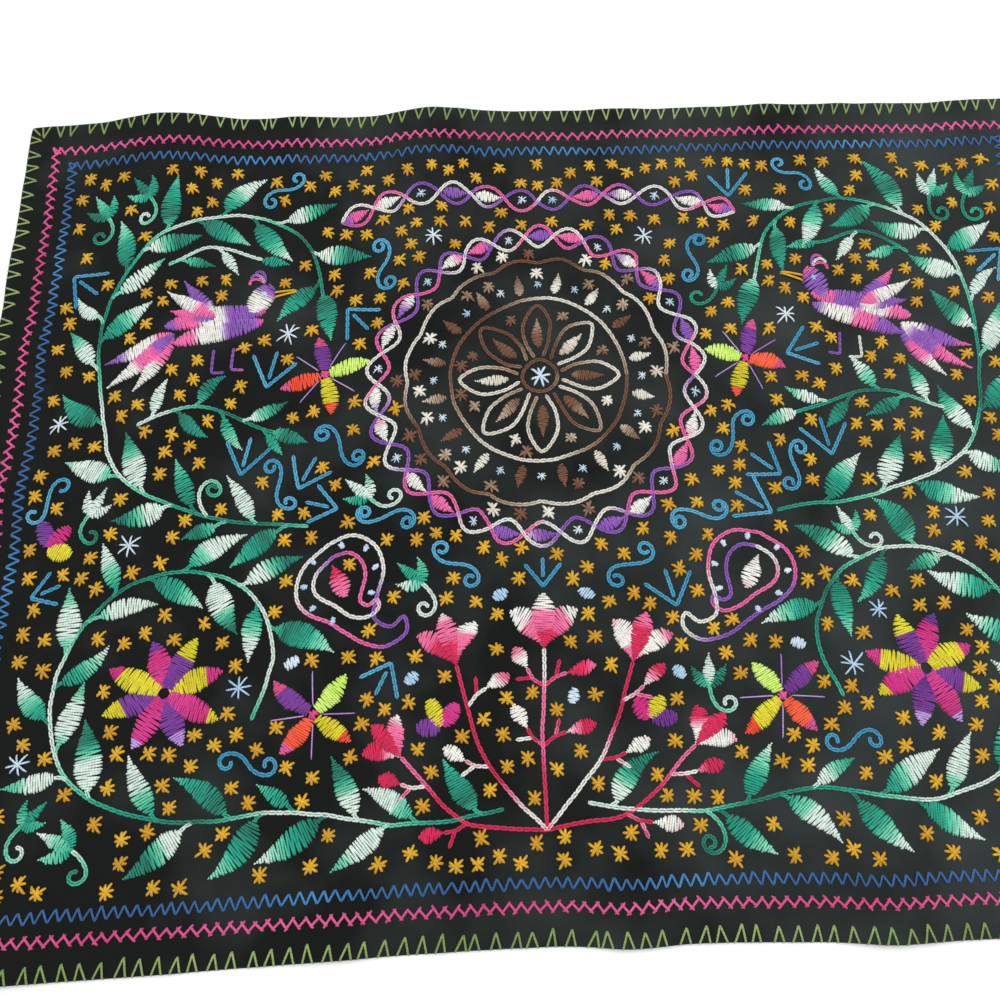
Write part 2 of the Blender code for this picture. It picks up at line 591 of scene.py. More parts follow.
@dataclass(frozen=True)
class Vine:
    """A stem with alternate leaves on short stalks and a few curling tendrils."""

    route: tuple[Point, ...]
    pitch: float = 18.5
    leaf: float = 35.0
    spread: float = 47.0
    first: float = 12.0
    plump: float = 0.40
    side: int = 1
    last_leaf: bool = True
    tendrils: tuple[tuple[float, int, float], ...] = ()
    bare: tuple[tuple[float, float], ...] = ()

    def stem(self, cloth: Field, hand: Hand) -> None:
        """Sew the stem alone."""
        cloth.line(hand, smooth_line(self.route), hand.skein(Floss.GREEN))

    def sew(self, cloth: Field, hand: Hand) -> None:
        """Sew its leaves and tendrils where there is room for them.

        Args:
            cloth: the field.
            hand: who sews it.
        """
        skein = hand.skein(Floss.GREEN)
        even = resample(smooth_line(self.route), 1.0)
        total = len(even) - 1
        side = self.side
        at = self.first
        while at < total - 6:
            skip = any(low < at / total < high for low, high in self.bare)
            if not skip:
                self.sew_leaf(cloth, hand, even, int(at), side)
            side = -side
            at += self.pitch * (1 + hand.wobble(0.07))
        if self.last_leaf:
            dx, dy = even[-1] - even[-4]
            heading = heading_of(dx, dy)
            cloth.blade(hand, tuple(even[-1]), heading, self.leaf * 0.95, self.leaf * self.plump,
                        hand.skein(Floss.GREEN), bend=hand.wobble(0.05))
        for share, turn, length in self.tendrils:
            index = min(total - 3, int(share * total))
            dx, dy = even[index + 2] - even[index]
            heading = heading_of(dx, dy) + 38 * turn
            for share_kept in (1.0, 0.84, 0.7):
                curl = curl_line(tuple(even[index]), heading, share_kept * length, 32.0, 2.5, turn)
                if cloth.room_for(hand, [tuple(point) for point in curl[8:]], 0.0):
                    cloth.line(hand, curl, skein)
                    break

    def sew_leaf(self, cloth: Field, hand: Hand, even: np.ndarray, index: int, side: int) -> None:
        """Sew one leaf and its stalk.

        Args:
            cloth: the field.
            hand: who sews it.
            even: the stem in even steps.
            index: the step that it grows from.
            side: +1 to the left of the stem, -1 to the right.
        """
        dx, dy = even[min(index + 3, len(even) - 1)] - even[index]
        along = heading_of(dx, dy)
        stalk = 4.0 + abs(hand.wobble(1.6))
        lean = self.spread + hand.wobble(7.0)
        full = self.leaf * (1 + hand.wobble(0.08))
        plump = self.plump + hand.wobble(0.025)
        bend = side * 0.03 + hand.wobble(0.05)
        root = tuple(even[index])
        joint = polar(root, stalk, along + side * self.spread * 0.7)
        skein = hand.skein(Floss.GREEN)
        tries = ((0, 1.0), (14, 0.95), (-14, 0.95), (24, 0.85), (-20, 0.82), (8, 0.7), (-6, 0.6))
        for swing, shorter in tries:
            heading = along + side * (lean + swing)
            length = full * shorter
            if cloth.room_for(hand, self.spots(joint, heading, length, length * plump)):
                bow = np.array([root, polar(root, stalk * 0.5, along + side * 22), joint])
                cloth.line(hand, bow, skein, width=2.3)
                cloth.blade(hand, joint, heading, length, length * plump, skein, bend=bend)
                return

    def spots(self, joint: Point, heading: float, length: float, width: float) -> list[Point]:
        """Points over a planned leaf, without the part next to its stem.

        Args:
            joint: where the leaf starts.
            heading: its direction, in degrees.
            length: its length, in millimetres.
            width: its width, in millimetres.

        Returns:
            The planned points.
        """
        spots = []
        for share in np.linspace(0.22, 1.03, 13):
            middle = polar(joint, share * length, heading)
            reach = 0.5 * width * (half_width(Blade.LEAF, share) if share < 1 else 0.0) + 1.2
            spots += [polar(middle, part * reach, heading + 90) for part in (-1.0, -0.5, 0.0, 0.5, 1.0)]
        return spots


@dataclass(frozen=True)
class Scroll:
    """A line that curls at both ends, as an S."""

    middle: Point
    heading: float
    length: float = 92.0
    open_radius: float = 60.0
    tight_radius: float = 2.5
    floss: Floss = Floss.SKY
    turn: int = 1

    def sew(self, cloth: Field, hand: Hand) -> None:
        """Sew it from one curled end to the other."""
        first, second = (curl_line(self.middle, self.heading + half_turn, self.length / 2, self.open_radius,
                                   self.tight_radius, self.turn, 1.05) for half_turn in (0, 180))
        cloth.line(hand, np.vstack([first[::-1], second[1:]]), hand.skein(self.floss), cloth.scrolls)


@dataclass(frozen=True)
class Rays:
    """Three straight chained bars that spread from one point."""

    root: Point
    heading: float
    length: float = 23.0
    spread: float = 38.0
    floss: Floss = Floss.SKY

    def tips(self, length: float) -> list[Point]:
        """Ends of bars of this length."""
        return [polar(self.root, length, self.heading + lean * self.spread) for lean in (-1, 0, 1)]

    def reach(self, cloth: Field, hand: Hand, shares: tuple[float, ...] = (1.0, 0.85, 0.7)) -> float:
        """The longest of these shares of the length that there is room for, or nought.

        Args:
            cloth: the field.
            hand: who sews it.
            shares: shares to try, longest first.

        Returns:
            The length, in millimetres.
        """
        for share in shares:
            spots = []
            for tip in self.tips(share * self.length + 2.5):
                bar = resample(np.array([self.root, tip]), 2.0)
                spots += [(x + dx, y + dy) for x, y in bar
                          for dx, dy in ((-2.2, 0.0), (2.2, 0.0), (0.0, 2.2))]
            if cloth.room_for(hand, spots, 0.0):
                return share * self.length
        return 0.0

    def sew(self, cloth: Field, hand: Hand) -> None:
        """Sew the bars, shorter ones where there is less room; the middle one starts apart.

        Args:
            cloth: the field.
            hand: who sews it.
        """
        length = self.reach(cloth, hand)
        if not length:
            return
        for number, tip in enumerate(self.tips(length)):
            foot = polar(self.root, 5.5, self.heading) if number == 1 else self.root
            cloth.line(hand, np.array([foot, tip]), hand.skein(self.floss), cloth.scrolls, width=2.5)


@dataclass(frozen=True)
class PetalColours:
    """Thread of a petal's body and of its tip."""

    body: Floss
    tip: Floss
    tip_share: float


@dataclass(frozen=True)
class Blossom:
    """An open flower of long pointed petals."""

    centre: Point
    petals: tuple[PetalColours, ...]
    length: float = 28.0
    width: float = 15.0
    inner: float = 3.0
    turn: float = 0.0
    whiskers: bool = False

    def sew(self, cloth: Field, hand: Hand) -> None:
        """Sew the petals one after another, then fine bars between them.

        Args:
            cloth: the field.
            hand: who sews it.
        """
        count = len(self.petals)
        for step, colours in enumerate(self.petals):
            angle = self.turn + 360 * step / count + hand.wobble(2.5)
            length = self.length * (1 + hand.wobble(0.06))
            cloth.blade(hand, polar(self.centre, self.inner, angle), angle, length, self.width,
                        hand.skein(colours.body), Blade.PETAL, bend=hand.wobble(0.03), pitch=1.28,
                        book=cloth.petals, tip=hand.skein(colours.tip), tip_share=colours.tip_share,
                        rise=0.42 + 0.3 * (step % 2))
        if self.whiskers:
            for step in range(count):
                angle = self.turn + 360 * (step + 0.5) / count + hand.wobble(4.0)
                skein = hand.skein(Floss.LILAC)
                start = hand.place(polar(self.centre, self.inner + 1.5, angle))
                end = hand.place(polar(self.centre, self.inner + 0.86 * self.length, angle))
                cloth.accents.sew(start, end, skein, width=0.8, rise=0.5)
            cloth.star(hand, self.centre, 6.5, Floss.ROSE, cloth.accents)


@dataclass(frozen=True)
class Lobes:
    """A small blossom of rounded lobes laid side by side."""

    root: Point
    heading: float
    colours: tuple[Floss, ...]
    length: float = 15.0
    width: float = 11.0
    fan: float = 62.0

    def sew(self, cloth: Field, hand: Hand) -> None:
        """Sew each lobe from the root outward.

        Args:
            cloth: the field.
            hand: who sews it.
        """
        count = len(self.colours)
        for step, floss in enumerate(self.colours):
            angle = self.heading + (step - (count - 1) / 2) * self.fan + hand.wobble(3.0)
            length = self.length * (1 + hand.wobble(0.06))
            cloth.blade(hand, polar(self.root, 1.0, angle), angle, length, self.width, hand.skein(floss),
                        Blade.OVAL, pitch=1.3, book=cloth.petals)


@dataclass(frozen=True)
class Tulip:
    """A cup of three petals on a chained stalk, with buds on side shoots."""

    foot: Point
    head: Point
    bow: float = 0.0
    size: float = 23.0
    shoots: tuple[float, ...] = (0.46, 0.76)

    def sew(self, cloth: Field, hand: Hand) -> None:
        """Sew the stalk, the cup and the side shoots.

        Args:
            cloth: the field.
            hand: who sews it.
        """
        (x0, y0), (x1, y1) = self.foot, self.head
        middle = ((x0 + x1) / 2 - self.bow * (y1 - y0), (y0 + y1) / 2 + self.bow * (x1 - x0))
        line = smooth_line((self.foot, middle, self.head))
        cloth.line(hand, line, hand.skein(Floss.RED), cloth.scrolls)
        dx, dy = line[-1] - line[-4]
        heading = heading_of(dx, dy)
        for lean, share, rise in ((40.0, 0.92, 0.42), (-40.0, 0.92, 0.42), (0.0, 1.0, 1.1)):
            cloth.blade(hand, self.head, heading + lean, self.size * share, self.size * 0.46,
                        hand.skein(Floss.RED), Blade.DROP, bend=-0.003 * lean, pitch=1.28, book=cloth.petals,
                        rise=rise)
        for share in self.shoots:
            index = min(len(line) - 2, int(share * len(line)))
            dx, dy = line[index + 1] - line[index - 1]
            for lean in (-52.0, 52.0):
                self.shoot(cloth, hand, tuple(line[index]), heading_of(dx, dy) + lean)

    def shoot(self, cloth: Field, hand: Hand, root: Point, heading: float) -> None:
        """Sew a side shoot that forks into a bud and a bare twig, if there is room.

        Args:
            cloth: the field.
            hand: who sews it.
            root: where it leaves the stalk.
            heading: its direction, in degrees.
        """
        fork = polar(root, 8.5, heading)
        bud, twig = polar(fork, 6.0, heading - 22), polar(fork, 9.0, heading + 40)
        spots = [polar(bud, reach, heading - 22 + lean) for reach in (4.0, 10.0, 16.0)
                 for lean in (-18, 0, 18)]
        if not cloth.room_for(hand, [*spots, twig, fork], 0.0):
            return
        for line in ((root, fork, bud), (fork, twig)):
            cloth.line(hand, np.array(line), hand.skein(Floss.RED), cloth.scrolls, width=2.4)
        length = 16.0 * (1 + hand.wobble(0.06))
        cloth.blade(hand, bud, heading - 22, length, 9.5, hand.skein(Floss.RED), Blade.DROP, pitch=1.28,
                    book=cloth.petals)


@dataclass(frozen=True)
class Sprig:
    """Three leaves on a stalk that ends in a curl."""

    crotch: Point
    heading: float
    leaf: float = 20.0
    stalk: float = 44.0
    turn: int = 1

    def fits(self, cloth: Field, hand: Hand) -> bool:
        """Whether the stalk and the leaves clear what is already sewn.

        Args:
            cloth: the field.
            hand: who sews it.

        Returns:
            True if they do.
        """
        curl = curl_line(self.crotch, self.heading + 180, self.stalk, 40.0, 2.6, self.turn, 1.3)
        spots = [(x + dx, y) for x, y in curl[::2] for dx in (-2.0, 2.0)]
        for lean in (-38.0, 0.0, 38.0):
            for reach, side in ((0.15, 30), (0.3, 24), (0.45, 20), (0.6, 16), (0.75, 12), (0.9, 8), (1.1, 5)):
                spots += [polar(self.crotch, reach * self.leaf, self.heading + lean + turn * side)
                          for turn in (-1, 0, 1)]
        return cloth.room_for(hand, spots, 0.0)

    def sew(self, cloth: Field, hand: Hand) -> None:
        """Sew the curled stalk and its leaves.

        Args:
            cloth: the field.
            hand: who sews it.
        """
        curl = curl_line(self.crotch, self.heading + 180, self.stalk, 40.0, 2.6, self.turn, 1.3)
        cloth.line(hand, curl, hand.skein(Floss.GREEN))
        for lean, share in ((38.0, 0.9), (-38.0, 0.9), (0.0, 1.12)):
            cloth.blade(hand, self.crotch, self.heading + lean, self.leaf * share, self.leaf * 0.42,
                        hand.skein(Floss.GREEN), bend=0.002 * lean)


# Outline of a paisley of unit size, and the dots that lie between it and its inner line
PAISLEY = ((0.06, -0.50), (0.30, -0.42), (0.42, -0.20), (0.38, 0.05), (0.22, 0.24), (0.10, 0.42),
           (0.20, 0.56), (0.36, 0.54), (0.30, 0.68), (0.08, 0.70), (-0.12, 0.52), (-0.24, 0.26),
           (-0.40, 0.02), (-0.44, -0.22), (-0.26, -0.44), (0.06, -0.50))
PAISLEY_DOTS = ((-0.33, -0.26), (-0.15, -0.43), (0.15, -0.41), (0.33, -0.24), (0.32, -0.02),
                (0.18, 0.17), (-0.34, -0.02), (-0.23, 0.19))


@dataclass(frozen=True)
class Paisley:
    """A curled drop with two chained outlines, dots between them and a filled drop inside."""

    centre: Point
    turn: float
    size: float = 62.0
    flip: int = 1

    def sew(self, cloth: Field, hand: Hand) -> None:
        """Sew the two outlines, the drop inside and the dots.

        Args:
            cloth: the field.
            hand: who sews it.
        """
        cloth.line(hand, smooth_line(tuple(self.at(x, y) for x, y in PAISLEY)), hand.skein(Floss.PURPLE),
                   cloth.scrolls)
        inner = tuple(self.at(0.60 * x, 0.60 * y - 0.06) for x, y in PAISLEY)
        cloth.line(hand, smooth_line(inner), hand.skein(Floss.PURPLE), cloth.scrolls)
        cloth.blade(hand, self.at(-0.01, -0.29), self.heading(95.0), 0.36 * self.size, 0.2 * self.size,
                    hand.skein(Floss.RED), Blade.DROP, book=cloth.petals)
        for x, y in PAISLEY_DOTS:
            cloth.blade(hand, self.at(0.94 * x, 0.94 * y), self.heading(heading_of(x, y)), 4.2, 3.6,
                        hand.skein(Floss.ICE), Blade.OVAL, pitch=1.2, book=cloth.petals)

    def at(self, x: float, y: float) -> Point:
        """A point of the unit paisley on the cloth."""
        return turned(self.centre, self.turn, self.flip * x * self.size, y * self.size)

    def heading(self, angle: float) -> float:
        """A direction of the unit paisley on the cloth, in degrees."""
        return self.turn + (angle if self.flip > 0 else 180 - angle)


@dataclass(frozen=True)
class Bird:
    """A plump songbird seen from the side, with raised wing feathers and a fan of tail feathers."""

    centre: Point
    turn: float
    size: float = 1.0

    def sew(self, cloth: Field, hand: Hand) -> None:
        """Sew tail, body, wing, head and the small parts in the maker's order.

        Args:
            cloth: the field.
            hand: who sews it.
        """
        for layer, (lean, length) in enumerate(((192, 44), (226, 42), (209, 50))):
            self.feather(cloth, hand, (-22, 1), lean, length, 12, rise=0.42 + 0.35 * layer)
        self.feather(cloth, hand, (-27, 6), 3, 60, 13.5, Blade.OVAL, rise=0.9)
        self.feather(cloth, hand, (-22, -5), 8, 54, 12.5, Blade.OVAL, rise=0.9)
        for layer, (lean, length) in enumerate(((166, 28), (124, 30), (145, 34))):
            self.feather(cloth, hand, (4, 9), lean, length, 11, rise=1.3 + 0.35 * layer)
        self.feather(cloth, hand, (25, 9), 50, 20, 15, Blade.OVAL, rise=1.3)
        beak = hand.skein(Floss.ORANGE)
        for lift in (0.0, 3.2):
            start, end = self.at(38, 16 + lift), self.at(52, 17.2 + 0.3 * lift)
            cloth.accents.sew(hand.place(start), hand.place(end), beak, width=1.5, rise=1.0)
        cloth.star(hand, self.at(33, 19), 4.6, Floss.ICE, cloth.accents, thread=1.1, lift=1.4)
        for foot in ((-2, -24), (10, -24)):
            leg = np.array([self.at(foot[0] + 3, -11), self.at(*foot), self.at(foot[0] + 7, foot[1] - 1)])
            cloth.line(hand, leg, hand.skein(Floss.PURPLE), cloth.scrolls, width=2.0)
        for lean in (70, 98, 126):
            curl = curl_line(self.at(34, 27), self.turn + lean, 12 * self.size, 14.0, 2.2, 1, 1.2)
            cloth.line(hand, curl, hand.skein(Floss.PURPLE), cloth.scrolls, width=2.0)

    def feather(self, cloth: Field, hand: Hand, base: Point, lean: float, length: float, width: float,
                shape: Blade = Blade.LEAF, rise: float = 0.42) -> None:
        """Fill one feather or body part; those sewn later lie on those sewn before."""
        cloth.blade(hand, self.at(*base), self.turn + lean, length * self.size, width * self.size,
                    hand.skein(Floss.PURPLE), shape, bend=0.03, pitch=1.32, book=cloth.petals, rise=rise)

    def at(self, x: float, y: float) -> Point:
        """A point of the bird on the cloth."""
        return turned(self.centre, self.turn, x * self.size, y * self.size)


@dataclass(frozen=True)
class Wreath:
    """Two wavy chain lines that cross again and again, with a small leaf or star in each eye."""

    centre: Point
    radius: float = 101.0
    swing: float = 7.5
    waves: int = 15
    leaf: float = 17.0

    def sew(self, cloth: Field, hand: Hand) -> None:
        """Sew both lines round, then fill the eyes.

        Args:
            cloth: the field.
            hand: who sews it.
        """
        angles = np.linspace(0, 2 * math.pi, 24 * self.waves)
        for swing in (self.swing, -self.swing):
            reach = self.radius + swing * np.sin(self.waves * angles)
            cloth.line(hand, round_line(self.centre, reach, angles), hand.skein(Floss.PURPLE), cloth.rings)
        for eye in range(2 * self.waves):
            angle = 180 * (eye + 0.5) / self.waves
            if eye % 3 == 2:
                cloth.star(hand, polar(self.centre, self.radius, angle), 6.5, Floss.ICE, cloth.accents,
                           thread=0.9)
                continue
            start = angle - math.degrees(0.5 * self.leaf / self.radius)
            cloth.blade(hand, polar(self.centre, self.radius + 0.6, start), angle + 90, self.leaf, 8.6,
                        hand.skein(Floss.PURPLE), book=cloth.petals, pitch=1.35, bend=-0.04)


@dataclass(frozen=True)
class Garland:
    """Two wavy chain lines along an open route, with leaves and stars in the eyes."""

    route: tuple[Point, ...]
    swing: float = 8.0
    eye: float = 27.0
    floss: Floss = Floss.PURPLE

    def sew(self, cloth: Field, hand: Hand) -> None:
        """Sew both lines, then fill the eyes.

        Args:
            cloth: the field.
            hand: who sews it.
        """
        line = resample(smooth_line(self.route), 1.5)
        ahead = np.gradient(line, axis=0)
        across = np.stack([-ahead[:, 1], ahead[:, 0]], axis=1) / np.hypot(*ahead.T)[:, None]
        run = 1.5 * np.arange(len(line))
        eyes = max(1, round(run[-1] / self.eye))
        wave = np.sin(math.pi * eyes * run / run[-1])[:, None]
        for swing in (self.swing, -self.swing):
            cloth.line(hand, line + swing * wave * across, hand.skein(self.floss), cloth.scrolls)
        for number in range(eyes):
            index = int((number + 0.5) / eyes * len(line))
            heading = heading_of(*ahead[index])
            middle = tuple(line[index])
            if number % 3 == 2:
                cloth.star(hand, middle, 7.0, Floss.ICE, cloth.accents, thread=0.9)
                continue
            length = 0.72 * self.eye
            cloth.blade(hand, polar(middle, length / 2, heading + 180), heading, length, 1.18 * self.swing,
                        hand.skein(self.floss), book=cloth.petals, pitch=1.35)


@dataclass(frozen=True)
class Sparks:
    """Loose stars, and small filled ovals, set at listed places between the larger motifs."""

    stars: tuple[tuple[float, float, float], ...] = ()
    ovals: tuple[tuple[float, float, float], ...] = ()
    floss: Floss = Floss.ICE

    def sew(self, cloth: Field, hand: Hand) -> None:
        """Sew each star by its place and size, each oval by its place and heading, where there is room.

        Args:
            cloth: the field.
            hand: who sews it.
        """
        for x, y, size in self.stars:
            if cloth.room_for(hand, self.disc((x, y), 0.5 * size), 0.0):
                cloth.star(hand, (x, y), size, self.floss, cloth.accents, thread=1.15)
        for x, y, heading in self.ovals:
            if cloth.room_for(hand, self.disc(polar((x, y), 4.5, heading), 5.5), 0.0):
                cloth.blade(hand, (x, y), heading, 9.0, 7.2, hand.skein(self.floss), Blade.OVAL, pitch=1.3,
                            book=cloth.petals)

    def disc(self, middle: Point, radius: float) -> list[Point]:
        """Points over a round patch."""
        return [polar(middle, reach, angle) for reach in (0.3 * radius, 0.65 * radius, radius)
                for angle in range(0, 360, 30)]


@dataclass(frozen=True)
class Medallion:
    """A round flower in brown, tan and cream: rings of chain stitch around two rows of petals."""

    centre: Point
    radius: float = 84.0
    scallops: int = 16
    petals: int = 8

    def sew(self, cloth: Field, hand: Hand) -> None:
        """Sew from the middle outward.

        Args:
            cloth: the field.
            hand: who sews it.
        """
        self.ring(cloth, hand, 11.0, 0.0, 1)
        cloth.star(hand, self.centre, 14.0, Floss.ICE, cloth.accents)
        for step in range(self.petals):
            angle = 90 + 360 * step / self.petals
            self.petal(cloth, hand, angle)
            between = polar(self.centre, 45.0, angle + 180 / self.petals)
            cloth.star(hand, between, 8.0, Floss.BROWN, cloth.accents)
        self.ring(cloth, hand, 56.0, 0.0, 1)
        for step in range(self.scallops):
            angle = 90 + 360 * (step + 0.5) / self.scallops
            cloth.blade(hand, polar(self.centre, 59.5, angle), angle, 15.0, 7.0, hand.skein(Floss.BROWN),
                        book=cloth.petals, pitch=1.35)
            cloth.star(hand, polar(self.centre, 66.0, angle + 180 / self.scallops), 6.0, Floss.ICE,
                       cloth.accents, thread=0.85)
        self.ring(cloth, hand, self.radius - 2.5, 3.2, self.scallops)

    def ring(self, cloth: Field, hand: Hand, radius: float, depth: float, waves: int) -> None:
        """Chain stitch round a circle, scalloped when `depth` isn't nought."""
        angles = np.linspace(0, 2 * math.pi, 24 + 12 * waves)
        reach = radius + depth * np.abs(np.sin(0.5 * waves * (angles - math.pi / 2)))
        cloth.line(hand, round_line(self.centre, reach, angles), hand.skein(Floss.BROWN), cloth.rings)

    def petal(self, cloth: Field, hand: Hand, angle: float) -> None:
        """Outline one petal and set a small leaf in it.

        Args:
            cloth: the field.
            hand: who sews it.
            angle: its direction from the middle, in degrees.
        """
        outline = (polar(self.centre, 14, angle - 12), polar(self.centre, 27, angle - 17),
                   polar(self.centre, 39, angle - 13), polar(self.centre, 51, angle),
                   polar(self.centre, 39, angle + 13), polar(self.centre, 27, angle + 17),
                   polar(self.centre, 14, angle + 12))
        cloth.line(hand, smooth_line(outline), hand.skein(Floss.BROWN), cloth.rings)
        cloth.blade(hand, polar(self.centre, 20, angle), angle, 21.0, 8.0, hand.skein(Floss.BROWN),
                    book=cloth.petals, pitch=1.35)


GARDEN_PETALS = (
    PetalColours(Floss.YELLOW, Floss.MAGENTA, 0.72),
    PetalColours(Floss.VIOLET, Floss.YELLOW, 0.62),
    PetalColours(Floss.MAGENTA, Floss.VIOLET, 0.80),
    PetalColours(Floss.YELLOW, Floss.MAGENTA, 0.78),
    PetalColours(Floss.VIOLET, Floss.YELLOW, 0.66),
    PetalColours(Floss.MAGENTA, Floss.LILAC, 0.84),
    PetalColours(Floss.VIOLET, Floss.LILAC, 0.72),
    PetalColours(Floss.MAGENTA, Floss.YELLOW, 0.80),
)
MEADOW_PETALS = (
    PetalColours(Floss.LIME, Floss.LIME, 1.0),
    PetalColours(Floss.VIOLET, Floss.ROSE, 0.7),
    PetalColours(Floss.VERMILION, Floss.ROSE, 0.75),
    PetalColours(Floss.YELLOW, Floss.VERMILION, 0.7),
)

VINES = (
    Vine(((-24, -190), (-84, -195), (-150, -184), (-216, -187), (-264, -166), (-282, -116), (-262, -66),
          (-218, -46), (-176, -60), (-157, -98), (-168, -134)), side=-1,
         tendrils=((0.12, 1, 54), (0.30, 1, 58), (0.50, -1, 54), (0.80, -1, 50)), last_leaf=False,
         bare=((0.95, 1.0),)),
    Vine(((-142, -22), (-204, -12), (-260, 12), (-280, 66), (-278, 128), (-248, 174), (-194, 188),
          (-154, 166), (-142, 130)),
         tendrils=((0.14, -1, 56), (0.40, -1, 50), (0.60, -1, 50), (0.86, -1, 50))),
    Vine(((-254, 42), (-212, 56), (-164, 40)), leaf=25, pitch=16, first=8, tendrils=((0.45, -1, 44),)),
    Vine(((-242, 150), (-214, 164), (-182, 156)), leaf=20, pitch=14, first=6, side=-1),
)
HALF = (
    Bird((-210, 104), 10, 1.08),
    Blossom((-218, -118), GARDEN_PETALS, length=30, width=16, turn=20),
    Blossom((-134, -134), MEADOW_PETALS, length=25, width=12.5, whiskers=True, turn=48),
    Blossom((-134, 76), MEADOW_PETALS, length=24, width=12.5, whiskers=True, turn=12),
    Paisley((-116, -64), -150, 62, -1),
    Garland(((-132, 180), (-94, 194), (-48, 198), (0, 192)), swing=7.5, eye=24),
    Lobes((-60, -144), 118, (Floss.MAGENTA, Floss.YELLOW, Floss.VIOLET)),
    Lobes((-298, -28), 40, (Floss.YELLOW, Floss.MAGENTA, Floss.VIOLET)),
    Tulip((0, -204), (-50, -110), 0.10, 30),
    Tulip((0, -204), (-84, -160), 0.14, 25),
    Scroll((-122, 28), 95),
    Scroll((-94, -22), 28, turn=-1),
    Scroll((-50, -52), 0, 76, turn=-1),
    Scroll((-158, 6), 70, 76),
    Scroll((-301, 0), 92, 58, turn=-1),
    Scroll((-104, 148), 60, 84),
    Scroll((-170, -158), 130, 64),
    Scroll((-172, 207), 0, 66),
    Rays((-182, 14), 80),
    Rays((-302, -56), 20),
    Rays((-112, 176), -60),
    Rays((-306, 150), -40),
    Sprig((-262, -200), 150, 20, 36, -1),
    Sprig((-288, 190), 120, 18, 40, -1),
    Sparks(((-160, 104, 15), (-176, -116, 15), (-72, 166, 14), (-304, 48, 14), (-250, -30, 15),
            (-296, -150, 14), (-196, -84, 13))),
    Sparks(ovals=((-28, -72, 30), (-16, -134, 100), (-80, -120, 40), (-44, -178, 60), (-306, 100, 85),
                  (-150, -106, 20))),
)
MIDDLE = (
    Medallion((0, 66)),
    Wreath((0, 66)),
    Tulip((0, -204), (0, -102), 0.0, 32),
    Rays((0, -66), 90),
)


@dataclass(frozen=True)
class BorderRows:
    """The three rows sewn round the cloth, each at its own distance in from the edge, in millimetres."""

    hem_pitch: float = 10.0
    hem_depth: float = 8.9
    hem_spread: float = 5.8
    hem_wrap: float = 0.35
    herringbone_inset: float = 20.2
    herringbone_height: float = 6.2
    herringbone_pitch: float = 6.8
    herringbone_overlap: float = 2.0
    zigzag_inset: float = 32.2
    zigzag_height: float = 6.6
    zigzag_pitch: float = 6.3

    def sides(self) -> tuple[tuple[float, float, int], ...]:
        """Each side's length, the other side's and its quarter turns, from the front round."""
        width, depth = CLOTH_WIDTH / MM, CLOTH_DEPTH / MM
        return ((width, depth, 0), (depth, width, 1), (width, depth, 2), (depth, width, 3))

    def at(self, side: tuple[float, float, int], along: float, inset: float) -> Point:
        """A point so far along a side and so far in from the edge.

        Args:
            side: one of the four sides.
            along: distance along it, in millimetres.
            inset: distance in from its edge, in millimetres.

        Returns:
            The planned point.
        """
        length, other, turns = side
        x, y = along - length / 2, inset - other / 2
        for _ in range(turns):
            x, y = -y, x
        return x, y

    def overcast_hem(self, hand: Hand) -> StitchBook:
        """Pointed stitches over the hem's edge, two from each hole.

        Args:
            hand: who sews it.

        Returns:
            The row's stitches.
        """
        book = StitchBook("hem_overcast_stitches")
        skein = hand.skein(Floss.OLIVE)
        for side in self.sides():
            count = round((side[0] - 2 * self.hem_pitch * 0.6) / self.hem_pitch)
            for step in range(count):
                along = self.hem_pitch * 0.6 + (side[0] - 1.2 * self.hem_pitch) * (step + 0.5) / count
                along += hand.wobble(0.7)
                lean = hand.wobble(0.9) + 0.6
                tip = self.at(side, along + lean, self.hem_depth + hand.wobble(0.5))
                for foot in (-0.5, 0.5):
                    reach = along + foot * (self.hem_spread + hand.wobble(0.5))
                    book.sew(tip, self.at(side, reach, -self.hem_wrap), skein, width=1.25, rise=0.4)
            corner = self.at(side, self.hem_depth * 0.8, self.hem_depth * 0.8)
            book.sew(corner, self.at(side, 0.3, 0.3), skein, width=1.25, rise=0.4)
        return book

    def herringbone(self, hand: Hand) -> StitchBook:
        """Slanting stitches whose ends cross, the way herringbone does.

        Args:
            hand: who sews it.

        Returns:
            The row's stitches.
        """
        book = StitchBook("herringbone_row_stitches")
        skein = hand.skein(Floss.ROSE)
        low = self.herringbone_inset - self.herringbone_height / 2
        for side in self.sides():
            run = side[0] - 2 * low
            half = run / (2 * round(run / self.herringbone_pitch))
            for step in range(round(run / half)):
                start = low + half * step
                end = min(start + half + self.herringbone_overlap, side[0] - low)
                high = low + self.herringbone_height
                feet = (high, low) if step % 2 else (low, high)
                book.sew(self.at(side, start + hand.wobble(0.3), feet[0] + hand.wobble(0.35)),
                         self.at(side, end + hand.wobble(0.3), feet[1] + hand.wobble(0.35)), skein,
                         width=1.45, rise=0.4 + 0.14 * (step % 2))
        return book

    def zigzag(self, hand: Hand) -> StitchBook:
        """A plain zigzag whose stitches meet in one hole.

        Args:
            hand: who sews it.

        Returns:
            The row's stitches.
        """
        book = StitchBook("zigzag_row_stitches")
        skein = hand.skein(Floss.BLUE)
        low = self.zigzag_inset - self.zigzag_height / 2
        for side in self.sides():
            run = side[0] - 2 * low
            half = run / (2 * round(run / self.zigzag_pitch))
            before = self.at(side, low, low)
            for step in range(round(run / half)):
                foot = low if step % 2 else low + self.zigzag_height
                after = self.at(side, low + half * (step + 1) + hand.wobble(0.35), foot + hand.wobble(0.4))
                book.sew(before, after, skein, width=1.35 + hand.wobble(0.12), rise=0.38)
                before = after
        return book


